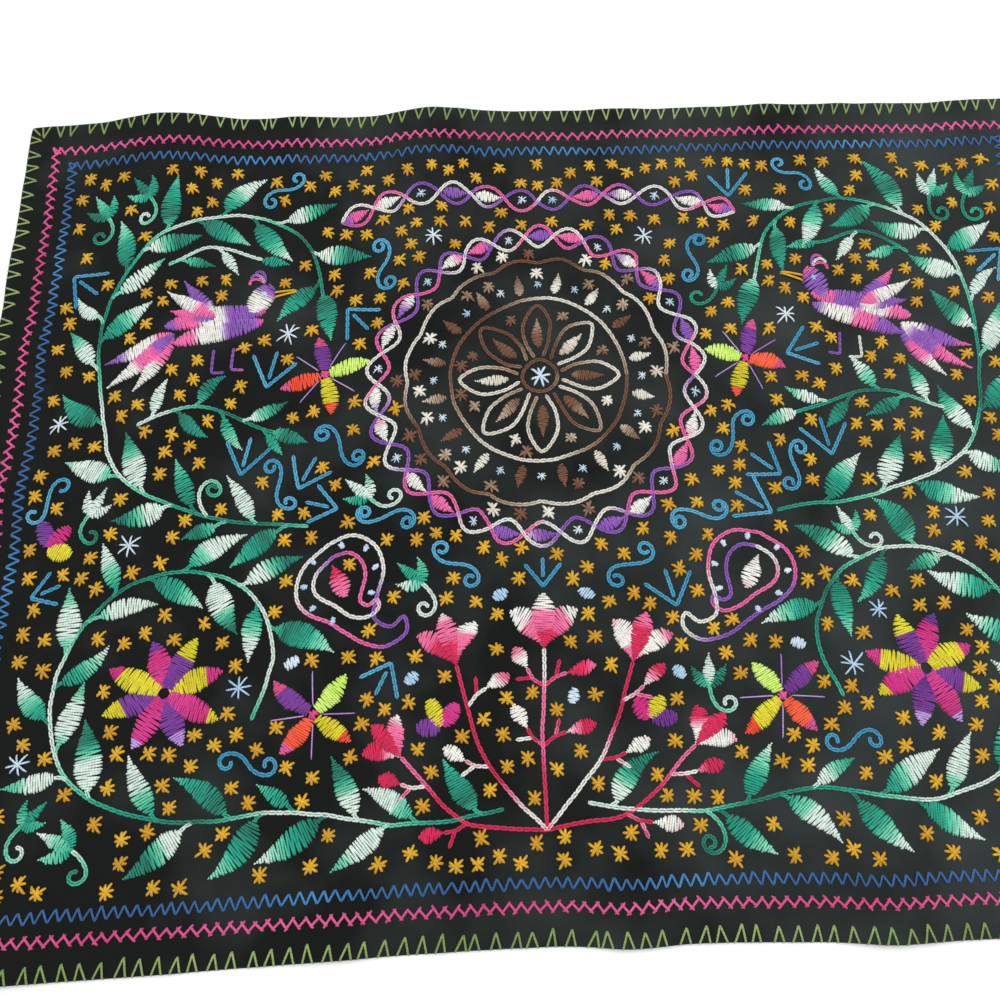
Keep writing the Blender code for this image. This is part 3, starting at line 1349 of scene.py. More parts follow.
@dataclass(frozen=True)
class StarGround:
    """Small stars over all the ground the motifs leave free: brown in the medallion, else orange."""

    spacing: float = 11.3
    clearance: float = 5.5
    size: float = 9.3
    half_width: float = 308.5
    half_depth: float = 220.5
    medallion: Point = (0.0, 66.0)
    medallion_reach: float = 90.0
    tries: int = 14000

    def sew(self, cloth: Field, hand: Hand) -> None:
        """Throw darts at the field and sew a star wherever one fits.

        Args:
            cloth: the field.
            hand: who sews it.
        """
        taken = cloth.covered()
        stars = np.empty((0, 2))
        darts = hand.rng.uniform((-self.half_width, -self.half_depth), (self.half_width, self.half_depth),
                                 (self.tries, 2))
        free = np.array([np.min(np.hypot(*(taken - dart).T)) > self.clearance for dart in darts])
        for dart in darts[free]:
            if len(stars) and np.min(np.hypot(*(stars - dart).T)) < self.spacing:
                continue
            stars = np.vstack([stars, dart])
            inside = math.dist(dart, self.medallion) < self.medallion_reach
            floss = Floss.BROWN if inside else Floss.ORANGE
            cloth.star(hand, tuple(dart), self.size, floss, cloth.stars, placed=True)


@dataclass(frozen=True)
class RayGround:
    """A few fans of blue bars in the gaps round the middle of the cloth."""

    half_width: float = 176.0
    half_depth: float = 206.0
    most: int = 10
    tries: int = 2500

    def sew(self, cloth: Field, hand: Hand) -> None:
        """Try fans at random places until there are enough of them.

        Args:
            cloth: the field.
            hand: who sews it.
        """
        sewn = 0
        for _ in range(self.tries):
            root = (hand.rng.uniform(-self.half_width, self.half_width),
                    hand.rng.uniform(-self.half_depth, self.half_depth))
            rays = Rays(root, hand.rng.uniform(0, 360), hand.rng.uniform(20, 24))
            if rays.reach(cloth, hand, (1.0, 0.9)) > 0:
                rays.sew(cloth, hand)
                sewn += 1
            if sewn == self.most:
                return


@dataclass(frozen=True)
class SprigGround:
    """Small curled sprigs, set wherever the larger motifs leave a gap wide enough."""

    half_width: float = 292.0
    half_depth: float = 204.0
    tries: int = 2500

    def sew(self, cloth: Field, hand: Hand) -> None:
        """Try sprigs of a few sizes at random places, larger ones first.

        Args:
            cloth: the field.
            hand: who sews it.
        """
        for leaf, stalk in ((21.0, 46.0), (18.0, 40.0), (16.0, 34.0)):
            for _ in range(self.tries):
                place = (hand.rng.uniform(-self.half_width, self.half_width),
                         hand.rng.uniform(-self.half_depth, self.half_depth))
                sprig = Sprig(place, hand.rng.uniform(20, 160), leaf, stalk, int(hand.rng.choice((-1, 1))))
                if sprig.fits(cloth, hand):
                    sprig.sew(cloth, hand)


def sew_field() -> Field:
    """Sew the field: stems, middle motifs, side motifs and their mirror images, leaves, ground.

    Returns:
        The sewn field.
    """
    cloth = Field()
    for number, vine in enumerate(VINES):
        for side in (1, -1):
            vine.stem(cloth, Hand(side, 10 * number + side + 2))
    for number, motif in enumerate(MIDDLE):
        motif.sew(cloth, Hand(1, 900 + number))
    for number, motif in enumerate((*HALF, *VINES)):
        for side in (1, -1):
            motif.sew(cloth, Hand(side, 300 + 10 * number + side))
    RayGround().sew(cloth, Hand(1, 75))
    SprigGround().sew(cloth, Hand(1, 76))
    StarGround().sew(cloth, Hand(1, 77))
    return cloth


@dataclass
class HemmedSheet:
    """The cotton sheet as it lies: a fine grid of its upper face, and the solid built on it.

    Attributes:
        cell: grid spacing, in metres.
        layer: thickness of the single layer.
        hem: thickness of the folded hem.
        clearance: height of the underside where the cloth rests.
        pucker: height of the small puckers that tight stitches draw up.
    """

    cell: float = 0.0036
    layer: float = 0.0007
    hem: float = 0.0012
    clearance: float = 0.0001
    pucker: float = 0.0009
    columns: np.ndarray = field(init=False)
    rows: np.ndarray = field(init=False)
    top: np.ndarray = field(init=False)
    under: np.ndarray = field(init=False)
    middle: Point = field(init=False)

    def __post_init__(self) -> None:
        """Lay out the grid and find where each of its points lies."""
        self.columns = self.cut_lines(CLOTH_WIDTH)
        self.rows = self.cut_lines(CLOTH_DEPTH)
        cut_x, cut_y = np.meshgrid(self.columns, self.rows)
        x, y = self.outline(cut_x, cut_y)
        rise = self.lift(x, y) + self.puckers(cut_x, cut_y)
        self.middle = ((x.min() + x.max()) / 2, (y.min() + y.max()) / 2)
        x -= self.middle[0]
        y -= self.middle[1]
        inset = np.minimum(np.minimum(cut_x, CLOTH_WIDTH - cut_x), np.minimum(cut_y, CLOTH_DEPTH - cut_y))
        folded = 1 - np.clip((inset - HEM_WIDTH + FOLD_HALF) / (2 * FOLD_HALF), 0, 1)
        rounding = 1 - np.clip(inset / RIM, 0, 1)
        thick = self.layer + (self.hem - self.layer) * folded
        base = self.clearance + rise + (self.hem - self.layer) * (1 - folded) * 0.35
        self.under = np.stack([x, y, base + 0.3 * thick * rounding], axis=2)
        self.top = np.stack([x, y, base + thick * (1 - 0.35 * rounding)], axis=2)

    def cut_lines(self, length: float) -> np.ndarray:
        """Grid lines over one side: close at the rounded rim and the hem's fold, even between.

        Args:
            length: the side's length, in metres.

        Returns:
            Places of the lines, in metres.
        """
        rim = [0.0, RIM, 0.0030, 0.0056, HEM_WIDTH - FOLD_HALF]
        inner = length - 2 * (HEM_WIDTH + FOLD_HALF)
        cells = round(inner / self.cell)
        even = [HEM_WIDTH + FOLD_HALF + inner * step / cells for step in range(cells + 1)]
        return np.array([*rim, *even, *[length - place for place in reversed(rim)]])

    def outline(self, cut_x: np.ndarray, cut_y: np.ndarray) -> tuple[np.ndarray, np.ndarray]:
        """Where points of the cut rectangle lie once the cloth is hemmed and laid down.

        Args:
            cut_x: distance across the cut rectangle, in metres.
            cut_y: distance up it, in metres.

        Returns:
            Right and up from the middle of the true rectangle, in metres.
        """
        across = cut_x / CLOTH_WIDTH
        along = cut_y / CLOTH_DEPTH
        corners = {name: self.corner(name) for name in CORNERS}
        place = []
        for axis in (0, 1):
            front = corners["front_left"][axis] * (1 - across) + corners["front_right"][axis] * across
            back = corners["back_left"][axis] * (1 - across) + corners["back_right"][axis] * across
            place.append(front * (1 - along) + back * along)
        x, y = place
        from_middle_x = cut_x - CLOTH_WIDTH / 2
        from_middle_y = cut_y - CLOTH_DEPTH / 2
        y = (y + along * self.hem_push("back", from_middle_x)
             - (1 - along) * self.hem_push("front", from_middle_x))
        x = (x + across * self.hem_push("right", from_middle_y)
             - (1 - across) * self.hem_push("left", from_middle_y))
        to_side = np.minimum(cut_x, CLOTH_WIDTH - cut_x) + np.minimum(cut_y, CLOTH_DEPTH - cut_y)
        pull = CORNER_PULL * np.exp(-to_side / CORNER_REACH)
        return x - np.sign(from_middle_x) * pull, y - np.sign(from_middle_y) * pull

    def corner(self, name: str) -> Point:
        """The place of a named corner on the surface.

        Args:
            name: which corner.

        Returns:
            Its place, in metres.
        """
        shift = CORNERS[name]
        right = CLOTH_WIDTH / 2 if name.endswith("right") else -CLOTH_WIDTH / 2
        up = CLOTH_DEPTH / 2 if name.startswith("back") else -CLOTH_DEPTH / 2
        return right + shift.right * MM, up + shift.up * MM

    def hem_push(self, side: str, along: np.ndarray) -> np.ndarray:
        """How far the hem stands out from its straight run.

        Args:
            side: which side of the cloth.
            along: places along it, in metres.

        Returns:
            The push at each place, in metres.
        """
        push = np.zeros_like(along)
        for wave in (wave for wave in HEM_WAVES if wave.side == side):
            push += wave.push * MM * np.exp(-(((along / MM - wave.place) / wave.reach) ** 2))
        return push

    def lift(self, x: np.ndarray, y: np.ndarray) -> np.ndarray:
        """The height of the ripples above the surface.

        Args:
            x: distance to the right of the middle, in metres.
            y: distance up from it, in metres.

        Returns:
            Height of each point, in metres.
        """
        height = np.zeros_like(x)
        for lift in LIFTS:
            turn = math.radians(lift.turn)
            across, along = x / MM - lift.right, y / MM - lift.up
            lengthwise = (across * math.cos(turn) + along * math.sin(turn)) / lift.length
            sideways = (along * math.cos(turn) - across * math.sin(turn)) / lift.width
            height += lift.height * MM * np.exp(-(lengthwise**2) - sideways**2)
        return np.maximum(0.0, height - LIFT_FLOOR)

    def puckers(self, cut_x: np.ndarray, cut_y: np.ndarray) -> np.ndarray:
        """Small uneven swells between the stitched motifs.

        Args:
            cut_x: distance across the cut rectangle, in metres.
            cut_y: distance up it, in metres.

        Returns:
            Height of each point, in metres.
        """
        x, y = cut_x / MM, cut_y / MM
        swell = (np.sin(0.098 * x + 0.041 * y + 0.3) * np.sin(0.083 * y - 0.035 * x + 1.1)
                 + 0.7 * np.sin(0.171 * x - 0.118 * y + 2.0) * np.sin(0.149 * y + 0.092 * x)
                 + 0.5 * np.sin(0.044 * x + 0.9) * np.sin(0.052 * y + 0.2))
        return self.pucker * np.clip(0.5 + 0.45 * swell, 0.0, 1.0)

    def place(self, x: np.ndarray, y: np.ndarray, height: np.ndarray) -> np.ndarray:
        """Lay planned points on the sheet's upper face.

        Args:
            x: millimetres to the right of the cut cloth's middle.
            y: millimetres up from it.
            height: millimetres above the upper face.

        Returns:
            Places in metres, one row each.
        """
        cut_x = np.clip(x * MM + CLOTH_WIDTH / 2, 0, CLOTH_WIDTH)
        cut_y = np.clip(y * MM + CLOTH_DEPTH / 2, 0, CLOTH_DEPTH)
        column = np.clip(np.searchsorted(self.columns, cut_x, "right") - 1, 0, len(self.columns) - 2)
        row = np.clip(np.searchsorted(self.rows, cut_y, "right") - 1, 0, len(self.rows) - 2)
        u = (cut_x - self.columns[column]) / (self.columns[column + 1] - self.columns[column])
        v = (cut_y - self.rows[row]) / (self.rows[row + 1] - self.rows[row])
        u, v = u[:, None], v[:, None]
        low = self.top[row, column] * (1 - u) + self.top[row, column + 1] * u
        high = self.top[row + 1, column] * (1 - u) + self.top[row + 1, column + 1] * u
        places = low * (1 - v) + high * v
        places[:, 0] += x * MM + CLOTH_WIDTH / 2 - cut_x
        places[:, 1] += y * MM + CLOTH_DEPTH / 2 - cut_y
        places[:, 2] += height * MM
        return places

    def build(self) -> bpy.types.Object:
        """The sheet as one closed thin solid, with its cut coordinates as the UV map.

        Returns:
            The sheet.
        """
        mesh = bmesh.new()
        uv_layer = mesh.loops.layers.uv.new("UVMap")
        row_layer = mesh.verts.layers.int.new("row")
        column_layer = mesh.verts.layers.int.new("column")
        bmesh.ops.create_grid(mesh, x_segments=len(self.columns) - 1, y_segments=len(self.rows) - 1, size=0.5)
        for vert in mesh.verts:
            vert[column_layer] = round((vert.co.x + 0.5) * (len(self.columns) - 1))
            vert[row_layer] = round((vert.co.y + 0.5) * (len(self.rows) - 1))
        raised = bmesh.ops.extrude_face_region(mesh, geom=list(mesh.faces), use_keep_orig=True)
        lifted = {item for item in raised["geom"] if isinstance(item, bmesh.types.BMVert)}
        for vert in mesh.verts:
            face_of = self.top if vert in lifted else self.under
            vert.co = face_of[vert[row_layer], vert[column_layer]]
        for face in mesh.faces:
            for corner in face.loops:
                corner[uv_layer].uv = (self.columns[corner.vert[column_layer]],
                                       self.rows[corner.vert[row_layer]])
        bmesh.ops.recalc_face_normals(mesh, faces=mesh.faces)
        for face in mesh.faces:
            face.smooth = True
        return finish_piece(mesh, "cotton_sheet")


def finish_piece(mesh: bmesh.types.BMesh, name: str) -> bpy.types.Object:
    """Make a piece of a bmesh and link it to the scene.

    Args:
        mesh: its shape, which is freed.
        name: its name.

    Returns:
        The new object.
    """
    data = bpy.data.meshes.new(name)
    mesh.to_mesh(data)
    mesh.free()
    piece = bpy.data.objects.new(name, data)
    bpy.context.scene.collection.objects.link(piece)
    return piece


@dataclass(frozen=True)
class UnitThread:
    """A short tube that every stitch of one kind repeats: its points, faces and UVs.

    Attributes:
        share: place of each point along the thread, from nought to one.
        side: offset of each point to the left, in thread half-widths.
        up: offset of each point upward, in thread half-heights.
        corners: point indices of all faces, one after another.
        sizes: number of corners of each face.
        uvs: share and turn of each face corner.
    """

    share: np.ndarray
    side: np.ndarray
    up: np.ndarray
    corners: np.ndarray
    sizes: np.ndarray
    uvs: np.ndarray

    @classmethod
    def make(cls, sides: int, cuts: tuple[float, ...]) -> "UnitThread":
        """Cut a closed prism into rings.

        Args:
            sides: number of sides of the thread.
            cuts: where the rings lie along it, without the two ends.

        Returns:
            The unit thread.
        """
        mesh = bmesh.new()
        bmesh.ops.create_cone(mesh, cap_ends=True, segments=sides, radius1=1.0, radius2=1.0, depth=1.0)
        for cut in cuts:
            bmesh.ops.bisect_plane(mesh, geom=[*mesh.verts, *mesh.edges, *mesh.faces],
                                   plane_co=(0, 0, cut - 0.5), plane_no=(0, 0, 1))
        mesh.verts.index_update()
        points = np.array([vert.co for vert in mesh.verts])
        corners, sizes, uvs = [], [], []
        for face in mesh.faces:
            middle = face.calc_center_median()
            facing = math.atan2(middle.y, middle.x)
            sizes.append(len(face.verts))
            for vert in face.verts:
                turn = math.atan2(vert.co.y, vert.co.x)
                turn = facing + (turn - facing + math.pi) % (2 * math.pi) - math.pi
                corners.append(vert.index)
                uvs.append((vert.co.z + 0.5, turn / (2 * math.pi)))
        mesh.free()
        return cls(points[:, 2] + 0.5, points[:, 0], points[:, 1],
                   np.array(corners), np.array(sizes), np.array(uvs))


# Share of a straight stitch in which its thread comes up through the cloth, and as much for going down
THREAD_DIVE = 0.13
STRAIGHT_THREAD = UnitThread.make(5, (THREAD_DIVE, 0.5, 1 - THREAD_DIVE))
LINK_THREAD = UnitThread.make(4, (0.16, 0.34, 0.5, 0.66, 0.84))

# Path of one chain link: share of its thread, place along and aside in shares of its length and width,
# and height in millimetres
LINK_PATH = np.array((
    (0.00, -0.04, 0.11, -0.10),
    (0.16, 0.28, 0.25, 0.36),
    (0.34, 0.86, 0.28, 0.46),
    (0.50, 1.17, 0.00, 0.44),
    (0.66, 0.86, -0.28, 0.46),
    (0.84, 0.28, -0.25, 0.36),
    (1.00, -0.04, -0.11, -0.10),
))
# A thread's height as a share of its width, in a straight stitch and in a chain link
THREAD_FLATNESS = 0.72
LINK_FLATNESS = 0.9
# How far a straight stitch's ends go into the cloth, in millimetres
DIP = 0.34
# One strand's width as a share of its link's, and the link's thread as a multiple of its length
LINK_STRAND = 0.46
LINK_RUN = 2.6
# Half the share of a link's thread over which its direction is taken
LINK_STEP = 0.06

ThreadRows = tuple[np.ndarray, np.ndarray, np.ndarray, np.ndarray]


def link_path(share: np.ndarray, column: int) -> np.ndarray:
    """One column of the link's path at shares of its thread."""
    return np.interp(share, LINK_PATH[:, 0], LINK_PATH[:, column])


@dataclass
class ThreadWork:
    """Turns a book of stitches into one mesh of real threads on the sheet."""

    sheet: HemmedSheet
    finishes: dict[Floss, bpy.types.Material]

    def build(self, book: StitchBook) -> bpy.types.Object:
        """Lay every stitch of the book as a closed tube of thread.

        Args:
            book: the piece's stitches.

        Returns:
            The piece.
        """
        points, skeins, corners, sizes, uvs, flosses = [], [], [], [], [], []
        offset = 0
        parts = []
        if book.straight:
            parts.append((STRAIGHT_THREAD, self.straight(np.array(book.straight))))
        if book.loops:
            parts.append((LINK_THREAD, self.links(np.array(book.loops))))
        for unit, (places, skein, floss, lengths) in parts:
            count, size = skein.shape
            points.append(places)
            skeins.append(skein.ravel())
            starts = offset + np.arange(count)[:, None] * size
            corners.append((unit.corners[None, :] + starts).ravel())
            sizes.append(np.tile(unit.sizes, count))
            uv = np.repeat(unit.uvs[None, :, :], count, axis=0)
            uv[:, :, 0] *= lengths[:, None]
            uvs.append(uv.reshape(-1, 2))
            flosses.append(np.repeat(floss, len(unit.sizes)))
            offset += count * size
        return self.joined(book.name, np.vstack(points), np.concatenate(skeins), np.concatenate(corners),
                           np.concatenate(sizes), np.vstack(uvs), np.concatenate(flosses))

    def straight(self, rows: np.ndarray) -> ThreadRows:
        """Straight stitches: up through the cloth, flat across it and down again.

        Args:
            rows: one row for each stitch, as its book keeps them.

        Returns:
            Places, dye places, flosses and thread lengths.
        """
        unit = STRAIGHT_THREAD
        x0, y0, x1, y1, width, rise, begin, end, floss = (column[:, None] for column in rows.T)
        share = unit.share[None, :]
        length = np.hypot(x1 - x0, y1 - y0)
        ux, uy = (x1 - x0) / length, (y1 - y0) / length
        near_end = np.minimum(share, 1 - share)
        risen = np.clip(near_end / THREAD_DIVE, 0, 1)
        swell = 0.62 + 0.38 * risen
        side = unit.side[None, :] * width / 2 * swell
        height = (rise * (0.86 + 0.28 * near_end) + DIP) * risen - DIP
        height = height + unit.up[None, :] * width / 2 * THREAD_FLATNESS * swell
        x = x0 + (x1 - x0) * share - uy * side
        y = y0 + (y1 - y0) * share + ux * side
        places = self.sheet.place(x.ravel(), y.ravel(), height.ravel())
        return places, begin + (end - begin) * share, floss[:, 0].astype(int), length[:, 0]

    def links(self, rows: np.ndarray) -> ThreadRows:
        """Chain links: a drop-shaped loop held down by the start of the next.

        Args:
            rows: one row for each stitch, as its book keeps them.

        Returns:
            Places, dye places, flosses and thread lengths.
        """
        unit = LINK_THREAD
        x0, y0, heading, pitch, width, begin, end, floss = (column[:, None] for column in rows.T)
        share = unit.share[None, :]
        along, aside, height = link_path(share, 1) * pitch, link_path(share, 2) * width, link_path(share, 3)
        ahead, back = np.clip(share + LINK_STEP, 0, 1), np.clip(share - LINK_STEP, 0, 1)
        run_x = (link_path(ahead, 1) - link_path(back, 1)) * pitch
        run_y = (link_path(ahead, 2) - link_path(back, 2)) * width
        run = np.hypot(run_x, run_y)
        thread = LINK_STRAND * width
        side = unit.side[None, :] * thread / 2
        along, aside = along - run_y / run * side, aside + run_x / run * side
        height = height + unit.up[None, :] * thread / 2 * LINK_FLATNESS
        x = x0 + along * np.cos(heading) - aside * np.sin(heading)
        y = y0 + along * np.sin(heading) + aside * np.cos(heading)
        places = self.sheet.place(x.ravel(), y.ravel(), np.broadcast_to(height, x.shape).ravel())
        return places, begin + (end - begin) * share, floss[:, 0].astype(int), LINK_RUN * pitch[:, 0]

    def joined(self, name: str, points: np.ndarray, skeins: np.ndarray, corners: np.ndarray,
               sizes: np.ndarray, uvs: np.ndarray, flosses: np.ndarray) -> bpy.types.Object:
        """One mesh of all the threads, with a material for each floss in it.

        Args:
            name: the piece's name.
            points: place of each point, in metres.
            skeins: dye place of each point.
            corners: point of each face corner.
            sizes: corners of each face.
            uvs: UV of each face corner.
            flosses: floss of each face.

        Returns:
            The new object.
        """
        data = bpy.data.meshes.new(name)
        data.vertices.add(len(points))
        data.vertices.foreach_set("co", points.astype(np.float32).ravel())
        data.loops.add(len(corners))
        data.loops.foreach_set("vertex_index", corners.astype(np.int32))
        data.polygons.add(len(sizes))
        data.polygons.foreach_set("loop_start", (np.cumsum(sizes) - sizes).astype(np.int32))
        used = sorted(set(flosses.tolist()))
        slots = {floss: slot for slot, floss in enumerate(used)}
        for floss in used:
            data.materials.append(self.finishes[FLOSS_ORDER[floss]])
        slot_of = np.array([slots[floss] for floss in flosses], dtype=np.int32)
        data.polygons.foreach_set("material_index", slot_of)
        data.polygons.foreach_set("use_smooth", np.ones(len(sizes), dtype=bool))
        data.uv_layers.new(name="UVMap").data.foreach_set("uv", uvs.astype(np.float32).ravel())
        skein = data.attributes.new("skein", "FLOAT", "POINT")
        skein.data.foreach_set("value", skeins.astype(np.float32))
        data.update(calc_edges=True)
        data.validate()
        piece = bpy.data.objects.new(name, data)
        bpy.context.scene.collection.objects.link(piece)
        return piece


def linear(colour: str) -> tuple[float, float, float, float]:
    """Turn an sRGB hex colour to linear red, green, blue and alpha."""
    parts = [int(colour[place:place + 2], 16) / 255 for place in (1, 3, 5)]
    return (*[part / 12.92 if part <= 0.04045 else ((part + 0.055) / 1.055) ** 2.4 for part in parts], 1.0)


def add_node(tree: bpy.types.NodeTree, kind: str, settings: dict | None = None,
             inputs: dict | None = None) -> bpy.types.Node:
    """Add a node with its settings and links.

    Args:
        tree: the material's node tree.
        kind: the node's type name, without the leading ShaderNode.
        settings: properties to set on the node.
        inputs: for each input, the socket that feeds it or its value.

    Returns:
        The new node.
    """
    node = tree.nodes.new("ShaderNode" + kind)
    for name, value in (settings or {}).items():
        setattr(node, name, value)
    for name, value in (inputs or {}).items():
        if isinstance(value, bpy.types.NodeSocket):
            tree.links.new(value, node.inputs[name])
        else:
            node.inputs[name].default_value = value
    return node


def noise(tree: bpy.types.NodeTree, place: bpy.types.Node, scale: float,
          detail: float) -> bpy.types.NodeSocket:
    """Uneven tone on the object's own coordinates."""
    inputs = {"Vector": place.outputs["Object"], "Scale": scale, "Detail": detail}
    return add_node(tree, "TexNoise", None, inputs).outputs["Fac"]


def new_material(name: str) -> tuple[bpy.types.Material, bpy.types.NodeTree, bpy.types.Node]:
    """A material with only its Principled shader and output.

    Args:
        name: the real material's name.

    Returns:
        The material, its node tree and its shader.
    """
    material = bpy.data.materials.new(name)
    material.use_nodes = True
    tree = material.node_tree
    return material, tree, tree.nodes["Principled BSDF"]


@dataclass(frozen=True)
class FlossFinish:
    """Stranded embroidery cotton: soft gloss of mercerized yarn, twisted, dyed along its length.

    Attributes:
        floss: the thread.
        dyes: place along the dye repeat and colour there.
        roughness: softness of the gloss.
        twist_mm: length of a turn of the yarn, coarser than real so that it shows.
        strands: ridges round the yarn.
    """

    floss: Floss
    dyes: tuple[tuple[float, str], ...]
    roughness: float = 0.6
    twist_mm: float = 1.6
    strands: int = 2

    def material(self) -> bpy.types.Material:
        """Dye ramp along the skein, slight unevenness of the dye, and the yarn's twist as relief.

        Returns:
            The material.
        """
        material, tree, shader = new_material(self.floss.value)
        skein = add_node(tree, "Attribute", {"attribute_name": "skein"})
        repeat = add_node(tree, "Math", {"operation": "FRACT"}, {0: skein.outputs["Fac"]})
        ramp = add_node(tree, "ValToRGB", None, {"Fac": repeat.outputs[0]})
        stops = ramp.color_ramp.elements
        while len(stops) < len(self.dyes):
            stops.new(0.5)
        for stop, (place, colour) in zip(stops, self.dyes):
            stop.position = place
            stop.color = linear(colour)
        place = add_node(tree, "TexCoord")
        shade = add_node(tree, "MapRange", None, {"Value": noise(tree, place, 420.0, 2.0), "From Min": 0.3,
                                                  "From Max": 0.7, "To Min": 0.82, "To Max": 1.12})
        dyed = add_node(tree, "HueSaturation", None,
                        {"Color": ramp.outputs["Color"], "Value": shade.outputs["Result"]})
        lead = (2 * math.pi / self.twist_mm, 2 * math.pi * self.strands, 0.0)
        turns = add_node(tree, "VectorMath", {"operation": "DOT_PRODUCT"}, {0: place.outputs["UV"], 1: lead})
        strand = add_node(tree, "Math", {"operation": "SINE"}, {0: turns.outputs["Value"]})
        relief = add_node(tree, "Bump", None,
                          {"Height": strand.outputs[0], "Strength": 0.7, "Distance": 0.00014})
        tree.links.new(dyed.outputs["Color"], shader.inputs["Base Color"])
        tree.links.new(relief.outputs["Normal"], shader.inputs["Normal"])
        shader.inputs["Roughness"].default_value = self.roughness
        shader.inputs["Specular IOR Level"].default_value = 0.3
        shader.inputs["Sheen Weight"].default_value = 0.15
        return material


def two_tone(floss: Floss, edge: str, middle: str) -> FlossFinish:
    """A thread of one colour, lighter in the middle of each dye repeat."""
    return FlossFinish(floss, ((0.0, edge), (0.5, middle), (1.0, edge)))


FLOSS_FINISHES = (
    # Sea-green to white, dyed in long stretches, as on the leaves and stems
    FlossFinish(Floss.GREEN, ((0.0, "#08745f"), (0.20, "#0d9a80"), (0.31, "#16a88b"), (0.37, "#54c6a2"),
                              (0.46, "#86dabb"), (0.51, "#d6eade"), (0.78, "#dcebe0"), (0.84, "#7ed4b2"),
                              (0.92, "#30b391"), (1.0, "#08745f"))),
    # Purple through pink to white, which bands the bird, the paisley and the wavy lines
    FlossFinish(Floss.PURPLE, ((0.0, "#8650b0"), (0.24, "#935cba"), (0.31, "#ea62a4"), (0.52, "#f072ac"),
                               (0.60, "#eae9e2"), (0.86, "#eceae2"), (0.94, "#a570c0"), (1.0, "#8650b0"))),
    # Crimson through pink to white, for the cupped flowers and their stalks
    FlossFinish(Floss.RED, ((0.0, "#d0124e"), (0.36, "#de1f58"), (0.43, "#ee6a9c"), (0.60, "#f079a6"),
                            (0.66, "#efeee6"), (0.88, "#ecebe2"), (0.95, "#ee7fa4"), (1.0, "#d0124e"))),
    # Brown through tan to cream, soft against the black of the medallion
    FlossFinish(Floss.BROWN, ((0.0, "#6b432b"), (0.30, "#7a5038"), (0.42, "#ab947a"), (0.55, "#ddd6c6"),
                              (0.80, "#eae6da"), (0.90, "#a88f74"), (1.0, "#6b432b"))),
    # Warm orange of the ground stars
    two_tone(Floss.ORANGE, "#c9920a", "#e0ac18"),
    # Pale blue of the loose stars, and clear blue of the scrolls and fans
    two_tone(Floss.ICE, "#a9cbe6", "#dfe9f0"),
    two_tone(Floss.SKY, "#3495bd", "#58b2d4"),
    # Bright threads of the open flowers
    two_tone(Floss.YELLOW, "#d0c212", "#e4d92a"),
    two_tone(Floss.MAGENTA, "#c91a78", "#d9378f"),
    two_tone(Floss.VIOLET, "#6a2488", "#80399c"),
    two_tone(Floss.LIME, "#bfe548", "#d3f07a"),
    two_tone(Floss.VERMILION, "#ec4420", "#f8623a"),
    two_tone(Floss.LILAC, "#a877cc", "#c7a3e0"),
    # Threads of the three border rows: dull green, pink and a streaky blue
    two_tone(Floss.OLIVE, "#78934a", "#93aa66"),
    two_tone(Floss.ROSE, "#d0407f", "#df5a95"),
    FlossFinish(Floss.BLUE, ((0.0, "#28598f"), (0.4, "#2f669f"), (0.55, "#3f86bd"), (0.7, "#2f669f"),
                             (1.0, "#28598f"))),
)


@dataclass(frozen=True)
class BlackCotton:
    """Black plain-weave cotton: dull, a little washed out, faintly ribbed by its yarns and lighter towards
    the right from painted light.

    Attributes:
        yarn_mm: width of a yarn, coarser than real cotton's so that the weave shows.
        dark: colour of the cotton.
        faded_and_lit: colour where the cotton has paled with age, and where painted light lightens it towards
            the right.
    """

    yarn_mm: float = 0.75
    dark: str = "#090d0a"
    # Colour of cotton paled with age, and of the painted light towards the right
    faded_and_lit: str = "#2e3534"

    def material(self) -> bpy.types.Material:
        """Over-and-under relief on the cut coordinates, with slow fading in blotches over the whole sheet and
        painted light that lightens it towards the right.

        Returns:
            The material.
        """
        material, tree, shader = new_material("black_plain_weave_cotton")
        place = add_node(tree, "TexCoord")
        axes = add_node(tree, "SeparateXYZ", None, {"Vector": place.outputs["UV"]})
        waves = []
        for axis in ("X", "Y"):
            angle = add_node(tree, "Math", {"operation": "MULTIPLY"},
                             {0: axes.outputs[axis], 1: math.pi / (self.yarn_mm * MM)})
            waves.append(add_node(tree, "Math", {"operation": "SINE"}, {0: angle.outputs[0]}).outputs[0])
        weave = add_node(tree, "Math", {"operation": "MULTIPLY"}, {0: waves[0], 1: waves[1]})
        # Uneven yarn: the weave doesn't stand up equally everywhere
        height = add_node(tree, "Math", {"operation": "ADD"},
                          {0: weave.outputs[0], 1: noise(tree, place, 900.0, 3.0)})
        # Soft puckers where the stitches draw the cotton together
        drawn = add_node(tree, "Bump", None,
                         {"Height": noise(tree, place, 75.0, 2.0), "Strength": 0.5, "Distance": 0.0016})
        relief = add_node(tree, "Bump", None, {"Height": height.outputs[0], "Strength": 0.6,
                                               "Distance": 0.0001, "Normal": drawn.outputs["Normal"]})
        # Slow fading in blotches, and painted light: a lighter tone that grows towards the right, as if lit
        # from that side
        fading_and_painted_light = add_node(tree, "Math", {"operation": "MULTIPLY_ADD"},
                        {0: axes.outputs["X"], 1: 0.6, 2: noise(tree, place, 14.0, 4.0)})
        share = add_node(tree, "MapRange", None,
                         {"Value": fading_and_painted_light.outputs[0], "From Min": 0.58, "From Max": 1.0})
        tint = add_node(tree, "Mix", {"data_type": "RGBA"}, {"Factor": share.outputs["Result"]})
        tint.inputs["A"].default_value = linear(self.dark)
        # The lighter end: cotton paled with age in blotches, and painted light towards the right
        tint.inputs["B"].default_value = linear(self.faded_and_lit)
        tree.links.new(tint.outputs["Result"], shader.inputs["Base Color"])
        tree.links.new(relief.outputs["Normal"], shader.inputs["Normal"])
        shader.inputs["Roughness"].default_value = 0.9
        shader.inputs["Specular IOR Level"].default_value = 0.18
        shader.inputs["Sheen Weight"].default_value = 0.1
        return material


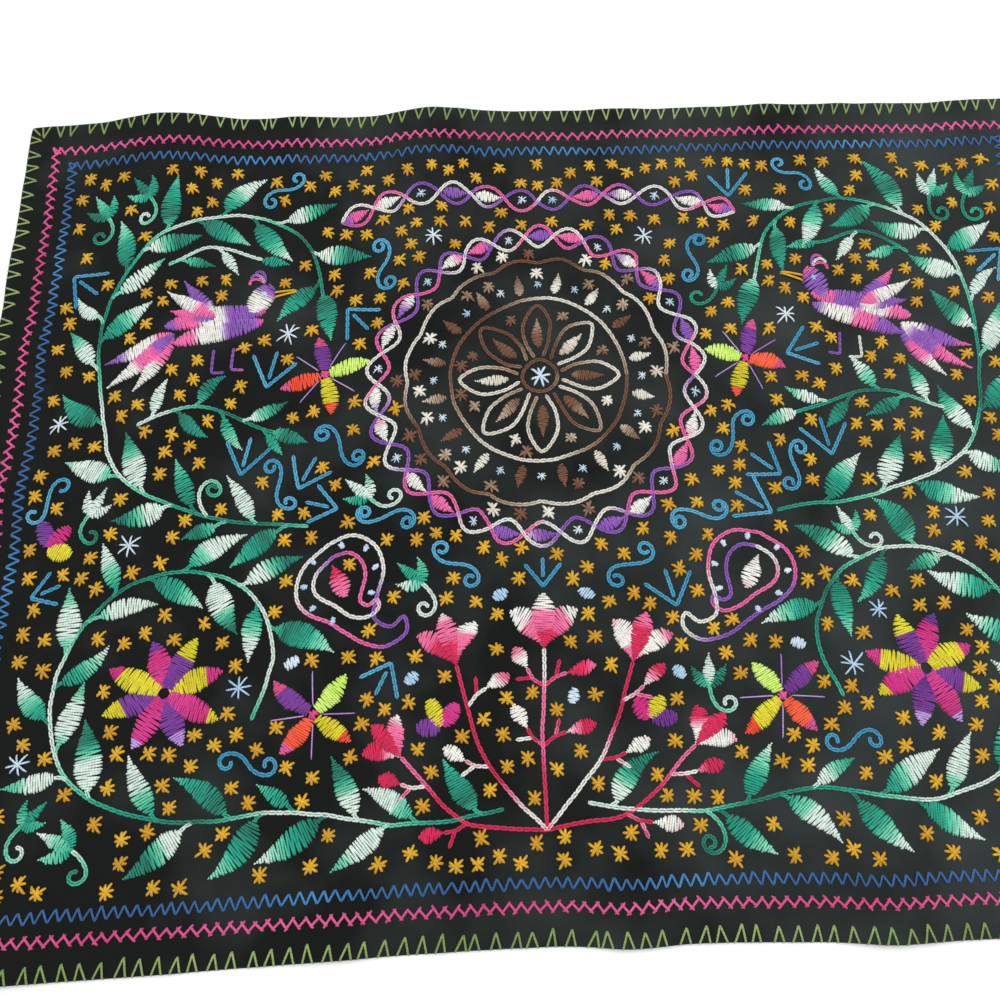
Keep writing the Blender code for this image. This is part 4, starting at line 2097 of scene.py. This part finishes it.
@dataclass(frozen=True)
class Studio:
    """A pale floor, a soft overhead light and the photograph's camera.

    Attributes:
        focal_px: focal length in pixels of the 1000 pixel wide frame.
        camera_at: camera place over the middle of the cut cloth, in metres.
        camera_turn: camera rotation, in degrees.
    """

    focal_px: float = 900.0
    camera_at: tuple[float, float, float] = (-0.0256, -0.1502, 0.5340)
    camera_turn: tuple[float, float, float] = (14.5, 0.3, -1.2)
    frame_px: float = 1000.0
    sensor_mm: float = 36.0

    def build(self, middle: Point) -> None:
        """Set the stage.

        Args:
            middle: where the middle of the cut cloth's plan lies from the origin.
        """
        self.floor()
        self.lights()
        data = bpy.data.cameras.new("camera")
        data.sensor_width = self.sensor_mm
        data.lens = self.focal_px / self.frame_px * self.sensor_mm
        data.clip_start = 0.01
        camera = bpy.data.objects.new("camera", data)
        camera.location = (self.camera_at[0] - middle[0], self.camera_at[1] - middle[1], self.camera_at[2])
        camera.rotation_euler = Euler([math.radians(angle) for angle in self.camera_turn], "XYZ")
        bpy.context.scene.collection.objects.link(camera)
        bpy.context.scene.camera = camera

    def floor(self) -> None:
        """A wide white painted board, a little more or less dull from place to place."""
        mesh = bmesh.new()
        bmesh.ops.create_grid(mesh, x_segments=1, y_segments=1, size=6.0)
        board = finish_piece(mesh, "floor")
        material, tree, shader = new_material("white_painted_board")
        place = add_node(tree, "TexCoord")
        dull = add_node(tree, "MapRange", None,
                        {"Value": noise(tree, place, 30.0, 2.0), "To Min": 0.78, "To Max": 0.92})
        tree.links.new(dull.outputs["Result"], shader.inputs["Roughness"])
        shader.inputs["Base Color"].default_value = linear("#f7f7f6")
        board.data.materials.append(material)

    def lights(self) -> None:
        """A broad soft light from above and a pale surround."""
        for name, place, size, power in (("overhead", (0.5, 0.7, 1.8), 2.0, 36.0),
                                         ("fill", (-1.2, -1.0, 1.4), 1.6, 8.0)):
            data = bpy.data.lights.new(name, "AREA")
            data.size = size
            data.energy = power
            light = bpy.data.objects.new(name, data)
            light.location = place
            light.rotation_euler = Vector(place).to_track_quat("Z", "Y").to_euler()
            bpy.context.scene.collection.objects.link(light)
        world = bpy.data.worlds.new("studio")
        world.use_nodes = True
        surround = world.node_tree.nodes["Background"]
        surround.inputs["Color"].default_value = linear("#f4f6f8")
        surround.inputs["Strength"].default_value = 0.55
        bpy.context.scene.world = world
        bpy.context.scene.view_settings.view_transform = "Standard"


def main() -> None:
    """Build the cloth, sew it and set it on the stage."""
    logging.basicConfig(level=logging.INFO, format="%(message)s")
    sheet = HemmedSheet()
    Studio().build(sheet.middle)
    cotton = sheet.build()
    cotton.data.materials.append(BlackCotton().material())
    finishes = {finish.floss: finish.material() for finish in FLOSS_FINISHES}
    work = ThreadWork(sheet, finishes)
    rows = BorderRows()
    embroidery = sew_field()
    books = (rows.overcast_hem(Hand(1, 5)), rows.herringbone(Hand(1, 6)), rows.zigzag(Hand(1, 7)),
             *embroidery.books())
    sewn = []
    for book in books:
        piece = work.build(book)
        sewn.append(piece)
        LOG.info("%s: %d stitches, %d chain links, %d faces", piece.name, len(book.straight), len(book.loops),
                 len(piece.data.polygons))
    for piece in (cotton, *sewn):
        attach(piece, "root")
    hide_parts("cloth")
    LOG.info("%s: %d faces", cotton.name, len(cotton.data.polygons))


if __name__ == "__main__":
    main()
